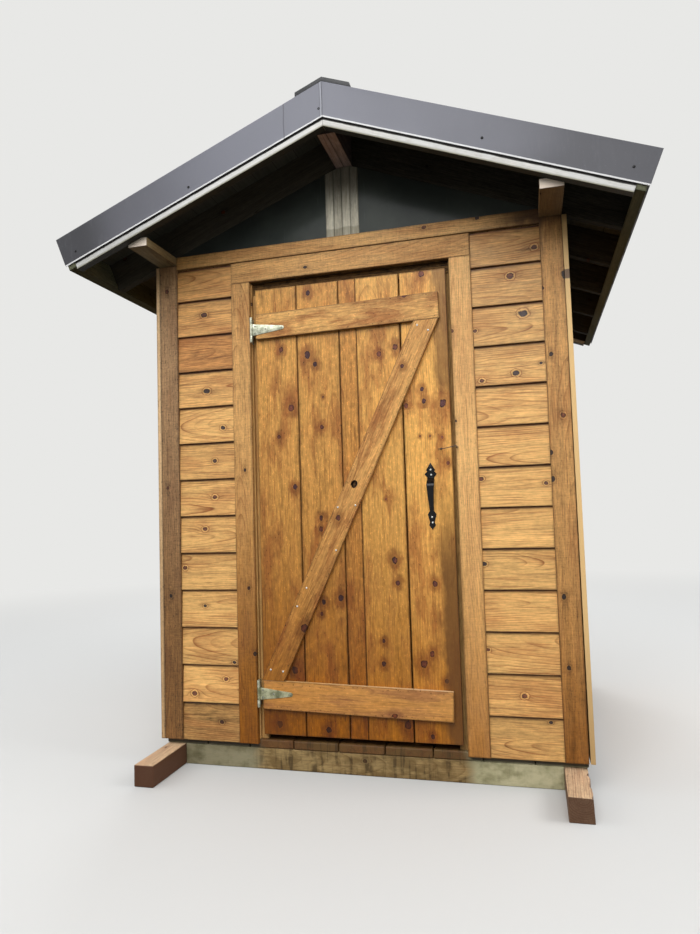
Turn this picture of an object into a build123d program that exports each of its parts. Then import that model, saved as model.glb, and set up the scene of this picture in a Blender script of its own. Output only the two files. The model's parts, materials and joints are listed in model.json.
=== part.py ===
from build123d import *
from math import atan, cos, radians, sin, tan
import os

os.makedirs("parts", exist_ok=True)

# A small wooden cabin on two skids, with lap siding, a ribbed metal gable roof and a ledged and braced door.
# Millimetres, +Z up. The front, with the door, faces -Y. The origin is on the ground under the roof's centre.

# Common timber and fitting values
board_thickness = 19
stud_thickness = 38
rafter_depth = 140
joint_gap = 0.6
plank_gap = 3

# Body
body_width = 1829
body_depth = 1829
trim_width = 89
wall_thickness = 89
wall_height = 2171

# Base
skid_size = 89
skid_overhang = 265
skid_inset = 5.5
plank_count = 9
plank_thickness = 38

# Siding and trim
siding_drop = 16
siding_exposure = 167.4
siding_butt = 16
siding_thin = 5
siding_courses = 13
frieze_height = 64
head_casing_height = 95

# Doorway
doorway_centre = -5
doorway_width = 910
jamb_reveal = 5
jamb_thickness = 19
stop_thickness = 19
stop_width = 30
head_stop_depth = 50

# Door leaf: its gaps, and its boards from the hinge edge, where the last one is ripped to fit
door_hinge_gap = 19
door_latch_gap = 13
door_bottom_clearance = 25
door_head_gap = 34
door_setback = 12
full_board_widths = (194, 192, 76, 191)
door_board_gaps = (4, 4, 2, 6)
stop_clearance = 5
batten_hinge_margin = 6
batten_latch_margin = 31
top_batten_height = 115
top_batten_drop = 167.5
top_batten_tilt = 1.1
bottom_batten_height = 123
bottom_batten_rise = 165.5
bottom_batten_tilt = -1.45
brace_width = 95
brace_lean = 25.4

# Hinges
hinge_height = 114
top_hinge_drop = 189
bottom_hinge_rise = 180
knuckle_radius = 6
knuckle_length = 55
knuckle_gap = 0.5
hinge_pin_radius = 2.5
hinge_pin_clearance = 0.1
hinge_plate = 2
strap_plate = 2.5
barrel_stand_off = 5
strap_length = 155
strap_base = 53
strap_tip_radius = 9
hinge_leaf_depth = 44

# Door pull: heights are measured up from its lower tip, and depths out from the door
pull_from_latch_edge = 93
pull_above_door = 878
pull_height = 281
pull_half_width = 26
pull_plate = 3
pull_lower_plate = 66
pull_upper_plate = 219

# The pull's half width and height along the edges of its two spades and of the bow between them
lower_spade_edge = [(14, 19), (9.5, 30), (18.5, 64)]
bow_edge = [(8.5, 78), (16, 190), (14.5, 219)]
upper_spade_edge = [(25.8, 233), (15, 244), (19, 250)]
pull_edge = lower_spade_edge + bow_edge + upper_spade_edge

# The bow of the pull: control points of its outer and inner faces, as depth and height
bow_front_low = [(pull_plate, pull_lower_plate), (pull_plate, 84), (29, 120), (33, 176)]
bow_front_high = [(33, 176), (34.2, 193), (24, 197), (pull_plate, pull_upper_plate)]
bow_back_high = [(0, 212), (20, 191), (28.9, 188), (28, 174)]
bow_back_low = [(28, 174), (25, 126), (3, 92), (0, 76)]

# Hook and eyes, bent from one wire that is drawn with flats round its section
wire_radius = 1.5
wire_flats = 8
eye_radius = 5
door_eye_radius = 6
hook_running_gap = 0.4
hook_above_door = 1212
hook_from_latch_edge = 41
hook_reach = 65
hook_rise = 11
hook_tip_drop = 12
hook_bend = 4
hook_stand_off = 20
hook_eye_clearance = 2

# Roof
roof_slope = 0.393
roof_length = 2438
birdsmouth_seat = 69.5
eave_overhang = 230.5
ridge_beam_drop = 12
gable_rafter_count = 5
deck_thickness = 12
fascia_drop = 12
sheet_thickness = 1.5
sheet_drip = 8
rib_height = 19
rib_base = 60
rib_crown = 20
rib_spacing = 228.6
rib_to_roof_end = 60
rake_face = 140
rake_hem = 10
rake_stand_off = 4
cap_half_width = 115
cap_height = 17.5

# Gables
king_post_plies = 4
king_post_offset = -14
pane_thickness = 5
pane_setback = 2
pane_tip_height = 6

# Levels and faces that follow from the sizes above
floor_underside = skid_size
floor_top = skid_size + plank_thickness
siding_bottom = floor_top - siding_drop
plate_bottom = floor_top + wall_height
plate_top = plate_bottom + stud_thickness
frieze_bottom = plate_top - frieze_height
head_casing_bottom = frieze_bottom - head_casing_height
frame_side = body_width / 2
frame_end = body_depth / 2 - board_thickness
trim_end = body_depth / 2
inner_side = frame_side - wall_thickness
inner_end = frame_end - wall_thickness
corner_inner = frame_side - trim_width
skid_outer = frame_side - skid_inset
skid_inner = skid_outer - skid_size
skid_end = body_depth / 2 + skid_overhang

# Doorway edges: the casing's edges, the jamb's faces and the hole in the framing
casing_left = doorway_centre - doorway_width / 2
casing_right = doorway_centre + doorway_width / 2
jamb_left = casing_left + jamb_reveal
jamb_right = casing_right - jamb_reveal
jamb_head = head_casing_bottom - jamb_reveal
opening_left = jamb_left - jamb_thickness
opening_right = jamb_right + jamb_thickness
opening_head = jamb_head + jamb_thickness

# Door leaf edges and faces
door_left = jamb_left + door_hinge_gap
door_right = jamb_right - door_latch_gap
last_board_width = door_right - door_left - sum(full_board_widths) - sum(door_board_gaps)
door_bottom = floor_top + door_bottom_clearance
door_top = jamb_head - door_head_gap
door_face = -trim_end + door_setback
door_back = door_face + board_thickness
batten_face = door_face - board_thickness
batten_left = door_left + batten_hinge_margin
batten_length = door_right - batten_latch_margin - batten_left
batten_centre = batten_left + batten_length / 2
top_batten_z = door_top - top_batten_drop
bottom_batten_z = door_bottom + bottom_batten_rise
hinge_middles = {"top": door_top - top_hinge_drop, "bottom": door_bottom + bottom_hinge_rise}
hinge_x = jamb_left + hinge_plate / 2 + knuckle_radius
hinge_y = batten_face - barrel_stand_off
pull_x = door_right - pull_from_latch_edge
pull_z = door_bottom + pull_above_door
hook_x = door_right - hook_from_latch_edge
hook_y = -trim_end - hook_stand_off
hook_z = door_bottom + hook_above_door
hook_loop_radius = 2 * wire_radius + hook_running_gap

# Roof lines: along the slope from the ridge, and above the rafters' underside
pitch = atan(roof_slope)
rafter_peak = plate_top + roof_slope * (frame_side - birdsmouth_seat)
tail_along = (frame_side + eave_overhang) / cos(pitch)
deck_top = rafter_depth + deck_thickness
rib_top = deck_top + rib_height
sheet_along = tail_along + stud_thickness + sheet_drip
roof_end = roof_length / 2
outer_rib = int((roof_end - rib_to_roof_end) / rib_spacing)
rake_top = rib_top + sheet_thickness
rake_bottom = rake_top - rake_face
rake_inside = roof_end - sheet_thickness
rake_flange_edge = outer_rib * rib_spacing - rib_crown / 2
barge_outside = rake_inside - rake_stand_off
barge_inside = barge_outside - stud_thickness
ridge_beam_bottom = rafter_peak - ridge_beam_drop
post_left = king_post_offset - king_post_plies * stud_thickness / 2
post_right = king_post_offset + king_post_plies * stud_thickness / 2

sides = {"left": -1, "right": 1}
ends = {"front": -1, "back": 1}


def mirrored(direction, near, far):
    """Two distances from the middle, on the side of this direction (-1 or 1), lower value first."""
    return sorted((direction * near, direction * far))


def on_slope(side, along, above):
    """X and Z of a point of the roof's section, on the left (-1) or the right (1)."""
    x = along * cos(pitch) + above * sin(pitch)
    z = rafter_peak - along * sin(pitch) + above * cos(pitch)
    return (side * x, z)


def slope_height(x, above):
    """Height over a point of the ground plan of the line that lies this far above the rafters' underside."""
    return rafter_peak + above / cos(pitch) - roof_slope * abs(x)


def slope_plane(side):
    """Plane square to the slope through the ridge: local X along the roof, local Y out of it."""
    down = (side * cos(pitch), 0, -sin(pitch))
    return Plane(origin=(0, 0, rafter_peak), x_dir=(0, side, 0), z_dir=down)


def slope_band(side, along, lower, upper):
    """Band down one slope, between two heights above the rafters' underside, cut plumb at the ridge."""
    half_joint = joint_gap / 2
    return [
        (side * half_joint, slope_height(half_joint, lower)),
        on_slope(side, along, lower),
        on_slope(side, along, upper),
        (side * half_joint, slope_height(half_joint, upper)),
    ]


def add_board(x_from, x_to, y_from, y_to, z_from, z_to):
    """Square-cut board between two corners."""
    middle = ((x_from + x_to) / 2, (y_from + y_to) / 2, (z_from + z_to) / 2)
    with Locations(middle):
        Box(x_to - x_from, y_to - y_from, z_to - z_from)


def add_elevation(points, y_from, y_to, mode=Mode.ADD):
    """Solid with this outline in X and Z, between two depths in Y."""
    with BuildSketch(Plane.XZ.offset(-y_to)) as outline:
        with BuildLine():
            Polyline(*points, close=True)
        make_face()
    extrude(outline.sketch, amount=y_to - y_from, mode=mode)


def add_profile(points, x_from, x_to):
    """Solid with this outline in Y and Z, between two places in X."""
    with BuildSketch(Plane.YZ.offset(x_from)) as outline:
        with BuildLine():
            Polyline(*points, close=True)
        make_face()
    extrude(outline.sketch, amount=x_to - x_from)


def save(built, name):
    """Label a finished piece and write it under its own name."""
    built.part.label = name
    export_step(built.part, f"parts/{name}.step")


def siding_profile(wall_face, outward, top):
    """Lap siding in section: each course leans out to a thick butt over the thin top of the one below."""
    points = [(wall_face, siding_bottom)]
    for course in range(siding_courses):
        lower = siding_bottom + course * siding_exposure
        upper = top if course == siding_courses - 1 else lower + siding_exposure
        points.append((wall_face + outward * siding_butt, lower))
        points.append((wall_face + outward * siding_thin, upper))
    points.append((wall_face, top))
    return points


# Base: skids, rims between them, a middle joist and planks that run front to back
for side_name, side in sides.items():
    with BuildPart() as skid:
        add_board(*mirrored(side, skid_inner, skid_outer), -skid_end, skid_end, 0, skid_size)
    save(skid, f"skid_{side_name}")

for end_name, end in ends.items():
    with BuildPart() as rim:
        rim_faces = mirrored(end, frame_end - stud_thickness, frame_end)
        add_board(-skid_inner, skid_inner, *rim_faces, 0, skid_size)
    save(rim, f"rim_{end_name}")

with BuildPart() as floor_joist:
    add_board(-skid_inner, skid_inner, -stud_thickness / 2, stud_thickness / 2, 0, skid_size)
save(floor_joist, "floor_joist")

plank_pitch = body_width / plank_count
with BuildPart() as floor_planks:
    with BuildSketch(Plane.XY.offset(floor_underside)):
        with GridLocations(plank_pitch, 0, plank_count, 1):
            Rectangle(plank_pitch - plank_gap, 2 * frame_end)
    extrude(amount=plank_thickness)
save(floor_planks, "floor_planks")

# Walls: solid panels as thick as the studs, split beside and over the doorway
for side_name, side in sides.items():
    with BuildPart() as side_wall:
        wall_faces = mirrored(side, inner_side, frame_side)
        add_board(*wall_faces, -frame_end, frame_end, floor_top, plate_bottom)
    save(side_wall, f"{side_name}_wall")

with BuildPart() as front_wall_left:
    add_board(-inner_side, opening_left, -frame_end, -inner_end, floor_top, plate_top)
save(front_wall_left, "front_wall_left")

with BuildPart() as front_wall_right:
    add_board(opening_right, inner_side, -frame_end, -inner_end, floor_top, plate_top)
save(front_wall_right, "front_wall_right")

with BuildPart() as front_wall_header:
    add_board(opening_left, opening_right, -frame_end, -inner_end, opening_head, plate_top)
save(front_wall_header, "front_wall_header")

with BuildPart() as back_wall:
    add_board(-inner_side, inner_side, inner_end, frame_end, floor_top, plate_top)
save(back_wall, "back_wall")

# Top plates lie flat on the side walls and reach out to the barge boards
for side_name, side in sides.items():
    with BuildPart() as top_plate:
        wall_faces = mirrored(side, inner_side, frame_side)
        add_board(*wall_faces, -barge_inside, barge_inside, plate_bottom, plate_top)
    save(top_plate, f"top_plate_{side_name}")

# Lap siding
with BuildPart() as front_siding:
    courses = siding_profile(-frame_end, -1, frieze_bottom)
    add_profile(courses, -corner_inner, casing_left - trim_width)
    add_profile(courses, casing_right + trim_width, corner_inner)
save(front_siding, "front_siding")

with BuildPart() as back_siding:
    add_profile(siding_profile(frame_end, 1, frieze_bottom), -corner_inner, corner_inner)
save(back_siding, "back_siding")

side_corner_inner = trim_end - trim_width
for side_name, side in sides.items():
    with BuildPart() as side_siding:
        courses = siding_profile(side * frame_side, side, plate_bottom)
        add_elevation(courses, -side_corner_inner, side_corner_inner)
    save(side_siding, f"{side_name}_siding")

# Trim: friezes, corner boards in pairs and the door's casing
for end_name, end in ends.items():
    with BuildPart() as frieze:
        trim_faces = mirrored(end, frame_end, trim_end)
        add_board(-corner_inner, corner_inner, *trim_faces, frieze_bottom, plate_top)
    save(frieze, f"frieze_{end_name}")

for end_name, end in ends.items():
    for side_name, side in sides.items():
        with BuildPart() as corner_boards:
            across = mirrored(side, corner_inner, frame_side - joint_gap)
            add_board(*across, *mirrored(end, frame_end, trim_end), siding_bottom, plate_bottom)
            across = mirrored(side, frame_side, frame_side + board_thickness)
            add_board(*across, *mirrored(end, side_corner_inner, trim_end), siding_bottom, plate_bottom)
        save(corner_boards, f"corner_boards_{end_name}_{side_name}")

with BuildPart() as door_casing:
    leg_top = head_casing_bottom - joint_gap
    leg_left = casing_left - trim_width
    leg_right = casing_right + trim_width
    add_board(leg_left, casing_left, -trim_end, -frame_end, siding_bottom, leg_top)
    add_board(casing_right, leg_right, -trim_end, -frame_end, siding_bottom, leg_top)
    add_board(leg_left, leg_right, -trim_end, -frame_end, head_casing_bottom, frieze_bottom)
save(door_casing, "door_casing")

# Jambs, each with its stop behind the door
stop_front = door_back + stop_clearance
stop_back = stop_front + stop_thickness
with BuildPart() as door_jambs:
    leg_top = jamb_head - joint_gap
    add_board(opening_left, jamb_left, -frame_end, -inner_end, floor_top, leg_top)
    add_board(jamb_right, opening_right, -frame_end, -inner_end, floor_top, leg_top)
    add_board(opening_left, opening_right, -frame_end, -inner_end, jamb_head, opening_head)
    stop_top = leg_top - head_stop_depth
    add_board(jamb_left, jamb_left + stop_width, stop_front, stop_back, floor_top, stop_top)
    add_board(jamb_right - stop_width, jamb_right, stop_front, stop_back, floor_top, stop_top)
    stop_left = jamb_left + joint_gap
    stop_right = jamb_right - joint_gap
    add_board(stop_left, stop_right, stop_front, stop_back, jamb_head - head_stop_depth, jamb_head)
save(door_jambs, "door_jambs")

# Ridge beam of two plies
with BuildPart() as ridge_beam:
    beam_top = ridge_beam_bottom + rafter_depth
    add_board(-stud_thickness, -joint_gap / 2, -barge_inside, barge_inside, ridge_beam_bottom, beam_top)
    add_board(joint_gap / 2, stud_thickness, -barge_inside, barge_inside, ridge_beam_bottom, beam_top)
save(ridge_beam, "ridge_beam")


def rafter_outline(side):
    """Rafter in side view: plumb cut at the ridge beam, birdsmouth on the plate, square-cut tail."""
    tail = on_slope(side, tail_along, 0)
    tail_top = on_slope(side, tail_along, rafter_depth)
    seat_inner = frame_side - birdsmouth_seat
    return [
        (side * stud_thickness, slope_height(stud_thickness, 0)),
        (side * seat_inner, plate_top),
        (side * frame_side, plate_top),
        (side * frame_side, slope_height(frame_side, 0)),
        tail,
        tail_top,
        (side * stud_thickness, slope_height(stud_thickness, rafter_depth)),
    ]


# Rafters: the first and last stand over the gable walls
rafter_span = 2 * frame_end - stud_thickness
rafter_spacing = rafter_span / (gable_rafter_count - 1)
for side_name, side in sides.items():
    with BuildPart() as rafters:
        for index in range(gable_rafter_count):
            start = -frame_end + index * rafter_spacing
            add_elevation(rafter_outline(side), start, start + stud_thickness)
    save(rafters, f"rafters_{side_name}")

# Barge boards meet in a plumb joint over the ridge beam's ends
for end_name, end in ends.items():
    with BuildPart() as barge_boards:
        for side in sides.values():
            outline = slope_band(side, tail_along, 0, rafter_depth)
            add_elevation(outline, *mirrored(end, barge_inside, barge_outside))
    save(barge_boards, f"barge_boards_{end_name}")

# Eave fascias across the rafter tails
for side_name, side in sides.items():
    with BuildPart() as fascia:
        outline = [
            on_slope(side, tail_along, fascia_drop),
            on_slope(side, tail_along + stud_thickness, fascia_drop),
            on_slope(side, tail_along + stud_thickness, deck_top),
            on_slope(side, tail_along, deck_top),
        ]
        add_elevation(outline, -barge_outside, barge_outside)
    save(fascia, f"fascia_{side_name}")

# Deck: one sheet on each slope
with BuildPart() as roof_deck:
    for side in sides.values():
        outline = slope_band(side, tail_along, rafter_depth, deck_top)
        add_elevation(outline, -barge_outside, barge_outside)
save(roof_deck, "roof_deck")


def ribbed_line(height):
    """Line of the ribbed sheet across the roof, at this height above the rafters' underside."""
    line = [(-rake_inside + joint_gap, height)]
    for index in range(-outer_rib, outer_rib + 1):
        centre = index * rib_spacing
        line.append((centre - rib_base / 2, height))
        line.append((centre - rib_crown / 2, height + rib_height - sheet_thickness))
        line.append((centre + rib_crown / 2, height + rib_height - sheet_thickness))
        line.append((centre + rib_base / 2, height))
    line.append((rake_inside - joint_gap, height))
    return line


# Roof sheets: ribs run down the slope, trimmed plumb at the ridge
ridge_start = -(rib_top + rib_height) * tan(pitch)
for side_name, side in sides.items():
    ridge_side = Plane.YZ.offset(side * joint_gap)
    with BuildPart() as roof_sheet:
        with BuildSketch(slope_plane(side).offset(ridge_start)) as section:
            with BuildLine():
                outer = ribbed_line(deck_top + sheet_thickness)
                inner = ribbed_line(deck_top)
                Polyline(*outer, *reversed(inner), close=True)
            make_face()
        extrude(amount=sheet_along - ridge_start)
        split(bisect_by=ridge_side, keep=Keep.TOP if side > 0 else Keep.BOTTOM)
    save(roof_sheet, f"roof_sheet_{side_name}")

# Rake trims: a tall face with a hem below and a flange that lies on the outermost rib
for end_name, end in ends.items():
    with BuildPart() as rake_trim:
        for side in sides.values():
            flange = slope_band(side, sheet_along, rib_top, rake_top)
            add_elevation(flange, *mirrored(end, rake_flange_edge, roof_end))
            face = slope_band(side, sheet_along, rake_bottom, rake_top)
            add_elevation(face, *mirrored(end, rake_inside, roof_end))
            hem = slope_band(side, sheet_along, rake_bottom, rake_bottom + rake_hem)
            add_elevation(hem, *mirrored(end, rake_inside, roof_end + sheet_thickness))
    save(rake_trim, f"rake_trim_{end_name}")


def cap_outline(half_width, lower, upper):
    """Ridge cap in section, from a line above the rafters to a higher one."""
    return [
        (0, slope_height(0, lower)),
        (half_width, slope_height(half_width, lower)),
        (half_width, slope_height(half_width, upper)),
        (0, slope_height(0, upper)),
        (-half_width, slope_height(half_width, upper)),
        (-half_width, slope_height(half_width, lower)),
    ]


# Ridge cap: a folded sheet with closed ends, open below
with BuildPart() as ridge_cap:
    cap = cap_outline(cap_half_width, rake_top, rake_top + cap_height)
    add_elevation(cap, -rake_inside, rake_inside)
    hollow_top = rake_top + cap_height - sheet_thickness
    hollow = cap_outline(cap_half_width - sheet_thickness, rake_top - sheet_thickness, hollow_top)
    hollow_end = rake_inside - sheet_thickness
    add_elevation(hollow, -hollow_end, hollow_end, mode=Mode.SUBTRACT)
save(ridge_cap, "ridge_cap")

# Gables: a post of plies under the ridge beam, with a clear pane on each side
for end_name, end in ends.items():
    with BuildPart() as king_post:
        for ply in range(king_post_plies):
            ply_left = post_left + ply * stud_thickness
            ply_right = ply_left + stud_thickness - joint_gap
            outline = [
                (ply_left, plate_top),
                (ply_right, plate_top),
                (ply_right, min(ridge_beam_bottom, slope_height(ply_right, 0))),
                (ply_left, min(ridge_beam_bottom, slope_height(ply_left, 0))),
            ]
            add_elevation(outline, *mirrored(end, inner_end, frame_end))
    save(king_post, f"king_post_{end_name}")

    with BuildPart() as gable_panes:
        outer_face = frame_end - pane_setback
        pane_faces = mirrored(end, outer_face - pane_thickness, outer_face)
        tip_x = frame_side - birdsmouth_seat - pane_tip_height / roof_slope
        for post_edge, side in ((post_left, -1), (post_right - joint_gap, 1)):
            outline = [
                (post_edge, plate_top),
                (side * tip_x, plate_top),
                (side * tip_x, slope_height(tip_x, 0)),
                (post_edge, slope_height(post_edge, 0)),
            ]
            add_elevation(outline, *pane_faces)
    save(gable_panes, f"gable_panes_{end_name}")

# Door leaf of upright boards
with BuildPart() as door_boards:
    board_left = door_left
    for width, gap in zip((*full_board_widths, last_board_width), (*door_board_gaps, 0)):
        board_right = board_left + width
        add_board(board_left, board_right, door_face, door_back, door_bottom, door_top)
        board_left = board_right + gap
save(door_boards, "door_boards")


def batten_edge(middle, height, tilt, edge, x):
    """Height of a tilted batten's lower (-1) or upper (1) edge at this X."""
    return middle + edge * height / 2 / cos(radians(tilt)) + tan(radians(tilt)) * (x - batten_centre)


battens = {
    "top": (top_batten_z, top_batten_height, top_batten_tilt),
    "bottom": (bottom_batten_z, bottom_batten_height, bottom_batten_tilt),
}
for batten_name, (middle, height, tilt) in battens.items():
    with BuildPart() as batten:
        with BuildSketch(Plane.XZ.offset(-door_face)):
            with Locations((batten_centre, middle)):
                Rectangle(batten_length, height, rotation=tilt)
        extrude(amount=board_thickness)
    save(batten, f"door_batten_{batten_name}")


def brace_corner(foot_x, batten, edge):
    """Point where a brace edge that starts at foot_x on the lower batten meets a batten's edge."""
    middle, height, tilt = batten
    foot_z = batten_edge(*battens["bottom"], 1, foot_x)
    lean = tan(radians(brace_lean))
    level = batten_edge(middle, height, tilt, edge, foot_x) + edge * joint_gap
    rise = (level - foot_z) / (1 - lean * tan(radians(tilt)))
    return (foot_x + lean * rise, foot_z + rise)


# Brace, leaning from the hinge foot to the latch side, cut along both battens
with BuildPart() as door_brace:
    foot_left = door_left + joint_gap
    foot_right = foot_left + brace_width / cos(radians(brace_lean))
    outline = [
        brace_corner(foot_left, battens["bottom"], 1),
        brace_corner(foot_right, battens["bottom"], 1),
        brace_corner(foot_right, battens["top"], -1),
        brace_corner(foot_left, battens["top"], -1),
    ]
    add_elevation(outline, batten_face, door_face)
save(door_brace, "door_brace")


# Hinges: a tapered strap on the door, and a leaf on the jamb that carries the pin
for hinge_name, middle in hinge_middles.items():
    with BuildPart() as hinge_strap:
        with BuildSketch(Plane.XZ.offset(-batten_face)):
            with Locations((hinge_x + knuckle_radius / 2, middle)):
                Rectangle(knuckle_radius, strap_base)
            with Locations((hinge_x + strap_length - strap_tip_radius, middle)):
                Circle(strap_tip_radius)
            make_hull()
        extrude(amount=strap_plate)
        with BuildSketch(Plane.XY.offset(middle - knuckle_length / 2)):
            with Locations((hinge_x, hinge_y)):
                Circle(knuckle_radius)
        extrude(amount=knuckle_length)
        with BuildSketch(Plane.XY.offset(middle - knuckle_length / 2)):
            with Locations((hinge_x, hinge_y)):
                Circle(hinge_pin_radius + hinge_pin_clearance)
        extrude(amount=knuckle_length, mode=Mode.SUBTRACT)
    save(hinge_strap, f"hinge_strap_{hinge_name}")

    with BuildPart() as hinge_leaf:
        half_height = hinge_height / 2
        plate_in = jamb_left + hinge_plate
        leaf_back = hinge_y + hinge_leaf_depth
        add_board(jamb_left, plate_in, hinge_y, leaf_back, middle - half_height, middle + half_height)
        notch_half = knuckle_length / 2 + knuckle_gap
        notch_depth = 2 * (knuckle_radius + knuckle_gap)
        with Locations((jamb_left + hinge_plate / 2, hinge_y, middle)):
            Box(hinge_plate, notch_depth, 2 * notch_half, mode=Mode.SUBTRACT)
        with BuildSketch(Plane.XY.offset(middle - half_height)):
            with Locations((hinge_x, hinge_y)):
                Circle(knuckle_radius)
        extrude(amount=half_height - notch_half)
        with BuildSketch(Plane.XY.offset(middle + notch_half)):
            with Locations((hinge_x, hinge_y)):
                Circle(knuckle_radius)
        extrude(amount=half_height - notch_half)
        with BuildSketch(Plane.XY.offset(middle - half_height)):
            with Locations((hinge_x, hinge_y)):
                Circle(hinge_pin_radius)
        extrude(amount=hinge_height)
    save(hinge_leaf, f"hinge_leaf_{hinge_name}")

# Door pull: a forged strap with a spade at each end, as one side view cut to one front view
pull_side = Plane(origin=(pull_x - pull_half_width, door_face, pull_z), x_dir=(0, -1, 0), z_dir=(-1, 0, 0))
pull_front = Plane(origin=(pull_x, door_face, pull_z), x_dir=(1, 0, 0), z_dir=(0, -1, 0))
with BuildPart() as door_pull:
    with BuildSketch(pull_side):
        with BuildLine():
            Line((0, 0), (pull_plate, 0))
            Line((pull_plate, 0), bow_front_low[0])
            Bezier(*bow_front_low)
            Bezier(*bow_front_high)
            Line(bow_front_high[-1], (pull_plate, pull_height))
            Line((pull_plate, pull_height), (0, pull_height))
            Line((0, pull_height), bow_back_high[0])
            Bezier(*bow_back_high)
            Bezier(*bow_back_low)
            Line(bow_back_low[-1], (0, 0))
        make_face()
    extrude(amount=-2 * pull_half_width)
    with BuildSketch(pull_front):
        with BuildLine():
            left_edge = [(-half, height) for half, height in reversed(pull_edge)]
            Polyline((0, 0), *pull_edge, (0, pull_height), *left_edge, close=True)
        make_face()
    extrude(amount=2 * pull_half_width, mode=Mode.INTERSECT)
save(door_pull, "door_pull")


def add_ring(centre, radius, axis):
    """Ring of the wire round a centre, about an axis that is square to X."""
    across = Vector(*axis).cross(Vector(1, 0, 0))
    with BuildSketch(Plane(origin=centre, x_dir=(1, 0, 0), z_dir=across)) as section:
        with Locations((radius, 0)):
            RegularPolygon(wire_radius, wire_flats)
    revolve(section.sketch, axis=Axis(centre, axis))


def add_screw_eye(x, y, z, radius, face):
    """Level ring of wire at the end of a shank that goes into the face behind it."""
    add_ring((x, y, z), radius, (0, 0, 1))
    half_flat = 180 / wire_flats
    with BuildSketch(Plane(origin=(x, face, z), x_dir=(1, 0, 0), z_dir=(0, -1, 0))) as section:
        RegularPolygon(wire_radius, wire_flats, rotation=half_flat)
    extrude(section.sketch, amount=face - y - radius)


with BuildPart() as door_eye:
    add_screw_eye(hook_x - door_eye_radius, hook_y, hook_z, door_eye_radius, door_face)
save(door_eye, "door_eye")

# The hook's loop goes round the side of the door's eye, and its tip hangs just in front of the casing's eye
tip_x = hook_x + hook_reach
casing_eye_y = hook_y + wire_radius + hook_eye_clearance + wire_radius + eye_radius
with BuildPart() as casing_eye:
    add_screw_eye(tip_x, casing_eye_y, hook_z + hook_rise - hook_tip_drop / 2, eye_radius, -trim_end)
save(casing_eye, "casing_eye")

with BuildPart() as hook:
    add_ring((hook_x, hook_y, hook_z), hook_loop_radius, (0, 1, 0))
    with BuildLine() as hook_line:
        FilletPolyline(
            (hook_x + hook_loop_radius, hook_y, hook_z),
            (tip_x, hook_y, hook_z + hook_rise),
            (tip_x, hook_y, hook_z + hook_rise - hook_tip_drop),
            radius=hook_bend,
        )
    with BuildSketch(Plane(origin=hook_line.line @ 0, z_dir=hook_line.line % 0)):
        RegularPolygon(wire_radius, wire_flats)
    sweep()
save(hook, "hook")
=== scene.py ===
import json
import math
import random
import bmesh
import bpy
import numpy as np
from mathutils import Matrix, Vector, noise

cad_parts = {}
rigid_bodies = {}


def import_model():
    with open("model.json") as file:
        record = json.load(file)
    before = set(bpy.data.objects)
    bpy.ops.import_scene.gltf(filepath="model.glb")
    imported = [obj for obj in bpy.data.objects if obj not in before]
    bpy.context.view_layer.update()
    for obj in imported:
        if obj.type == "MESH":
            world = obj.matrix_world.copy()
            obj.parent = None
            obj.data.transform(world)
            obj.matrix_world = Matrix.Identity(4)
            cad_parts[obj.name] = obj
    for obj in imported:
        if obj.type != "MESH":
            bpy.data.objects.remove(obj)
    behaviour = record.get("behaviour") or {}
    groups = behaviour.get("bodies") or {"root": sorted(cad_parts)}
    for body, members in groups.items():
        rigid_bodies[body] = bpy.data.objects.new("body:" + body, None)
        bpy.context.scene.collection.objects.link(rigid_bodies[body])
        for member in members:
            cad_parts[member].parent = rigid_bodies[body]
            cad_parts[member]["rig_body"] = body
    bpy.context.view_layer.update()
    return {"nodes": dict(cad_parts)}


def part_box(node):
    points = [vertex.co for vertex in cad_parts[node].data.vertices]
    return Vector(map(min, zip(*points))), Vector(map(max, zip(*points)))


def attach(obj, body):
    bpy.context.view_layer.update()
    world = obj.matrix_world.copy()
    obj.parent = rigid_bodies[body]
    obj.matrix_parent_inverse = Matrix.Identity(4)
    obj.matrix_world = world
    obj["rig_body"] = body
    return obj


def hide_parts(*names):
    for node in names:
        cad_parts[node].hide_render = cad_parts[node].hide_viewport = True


# The looks of a small wooden cabin on skids, in metres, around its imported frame.

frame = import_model()

# Camera of the photo: its place, its directions and its lens in photo pixels
photo_width = 700
photo_height = 934
photo_focal = 682.1
sensor_size = 36.0
eye = Vector((0.740, -3.7615, 1.119))
look = Vector((-0.2536, 0.9652, 0.0640)).normalized()
right = Vector((0.9663, 0.2559, -0.0301)).normalized()
up = right.cross(look).normalized()

# Directions of the frame
x_axis = Vector((1, 0, 0))
y_axis = Vector((0, 1, 0))
z_axis = Vector((0, 0, 1))
front_way = -y_axis

# Faces and levels of the frame that pieces are placed by
trim_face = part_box("frieze_front")[0].y
door_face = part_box("door_boards")[0].y
batten_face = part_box("door_brace")[0].y
plate_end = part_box("top_plate_left")[1].y

# Boards of the right corner, as in the frame, and the height of the knot in the side board's cut edge
board_thickness = 0.019
right_corner_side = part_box("corner_boards_front_right")[1].x
side_board_start = right_corner_side - board_thickness
edge_knot_height = 2.054

# Siding, as in the frame
course_count = 13
exposure = 0.1674
butt = 0.016
thin_edge = 0.005
siding_behind_trim = 0.009

# Roof, as in the frame: heights above the rafters' underside, and distances down the slope
roof_slope = 0.393
pitch = math.atan(roof_slope)
peak_in_beam = 0.012
rafter_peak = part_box("ridge_beam")[0].z + peak_in_beam
rib_spacing = 0.2286
rib_count = 11
sheet_top = 0.1535
sheet_along = 1.2763
rake_bottom = 0.0325
rake_top = 0.1725
rake_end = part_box("rake_trim_back")[1].y
flange_edge = 1.133
rake_sheet = 0.0008
lap_at = 0.165
seam_reach = 0.009

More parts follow.
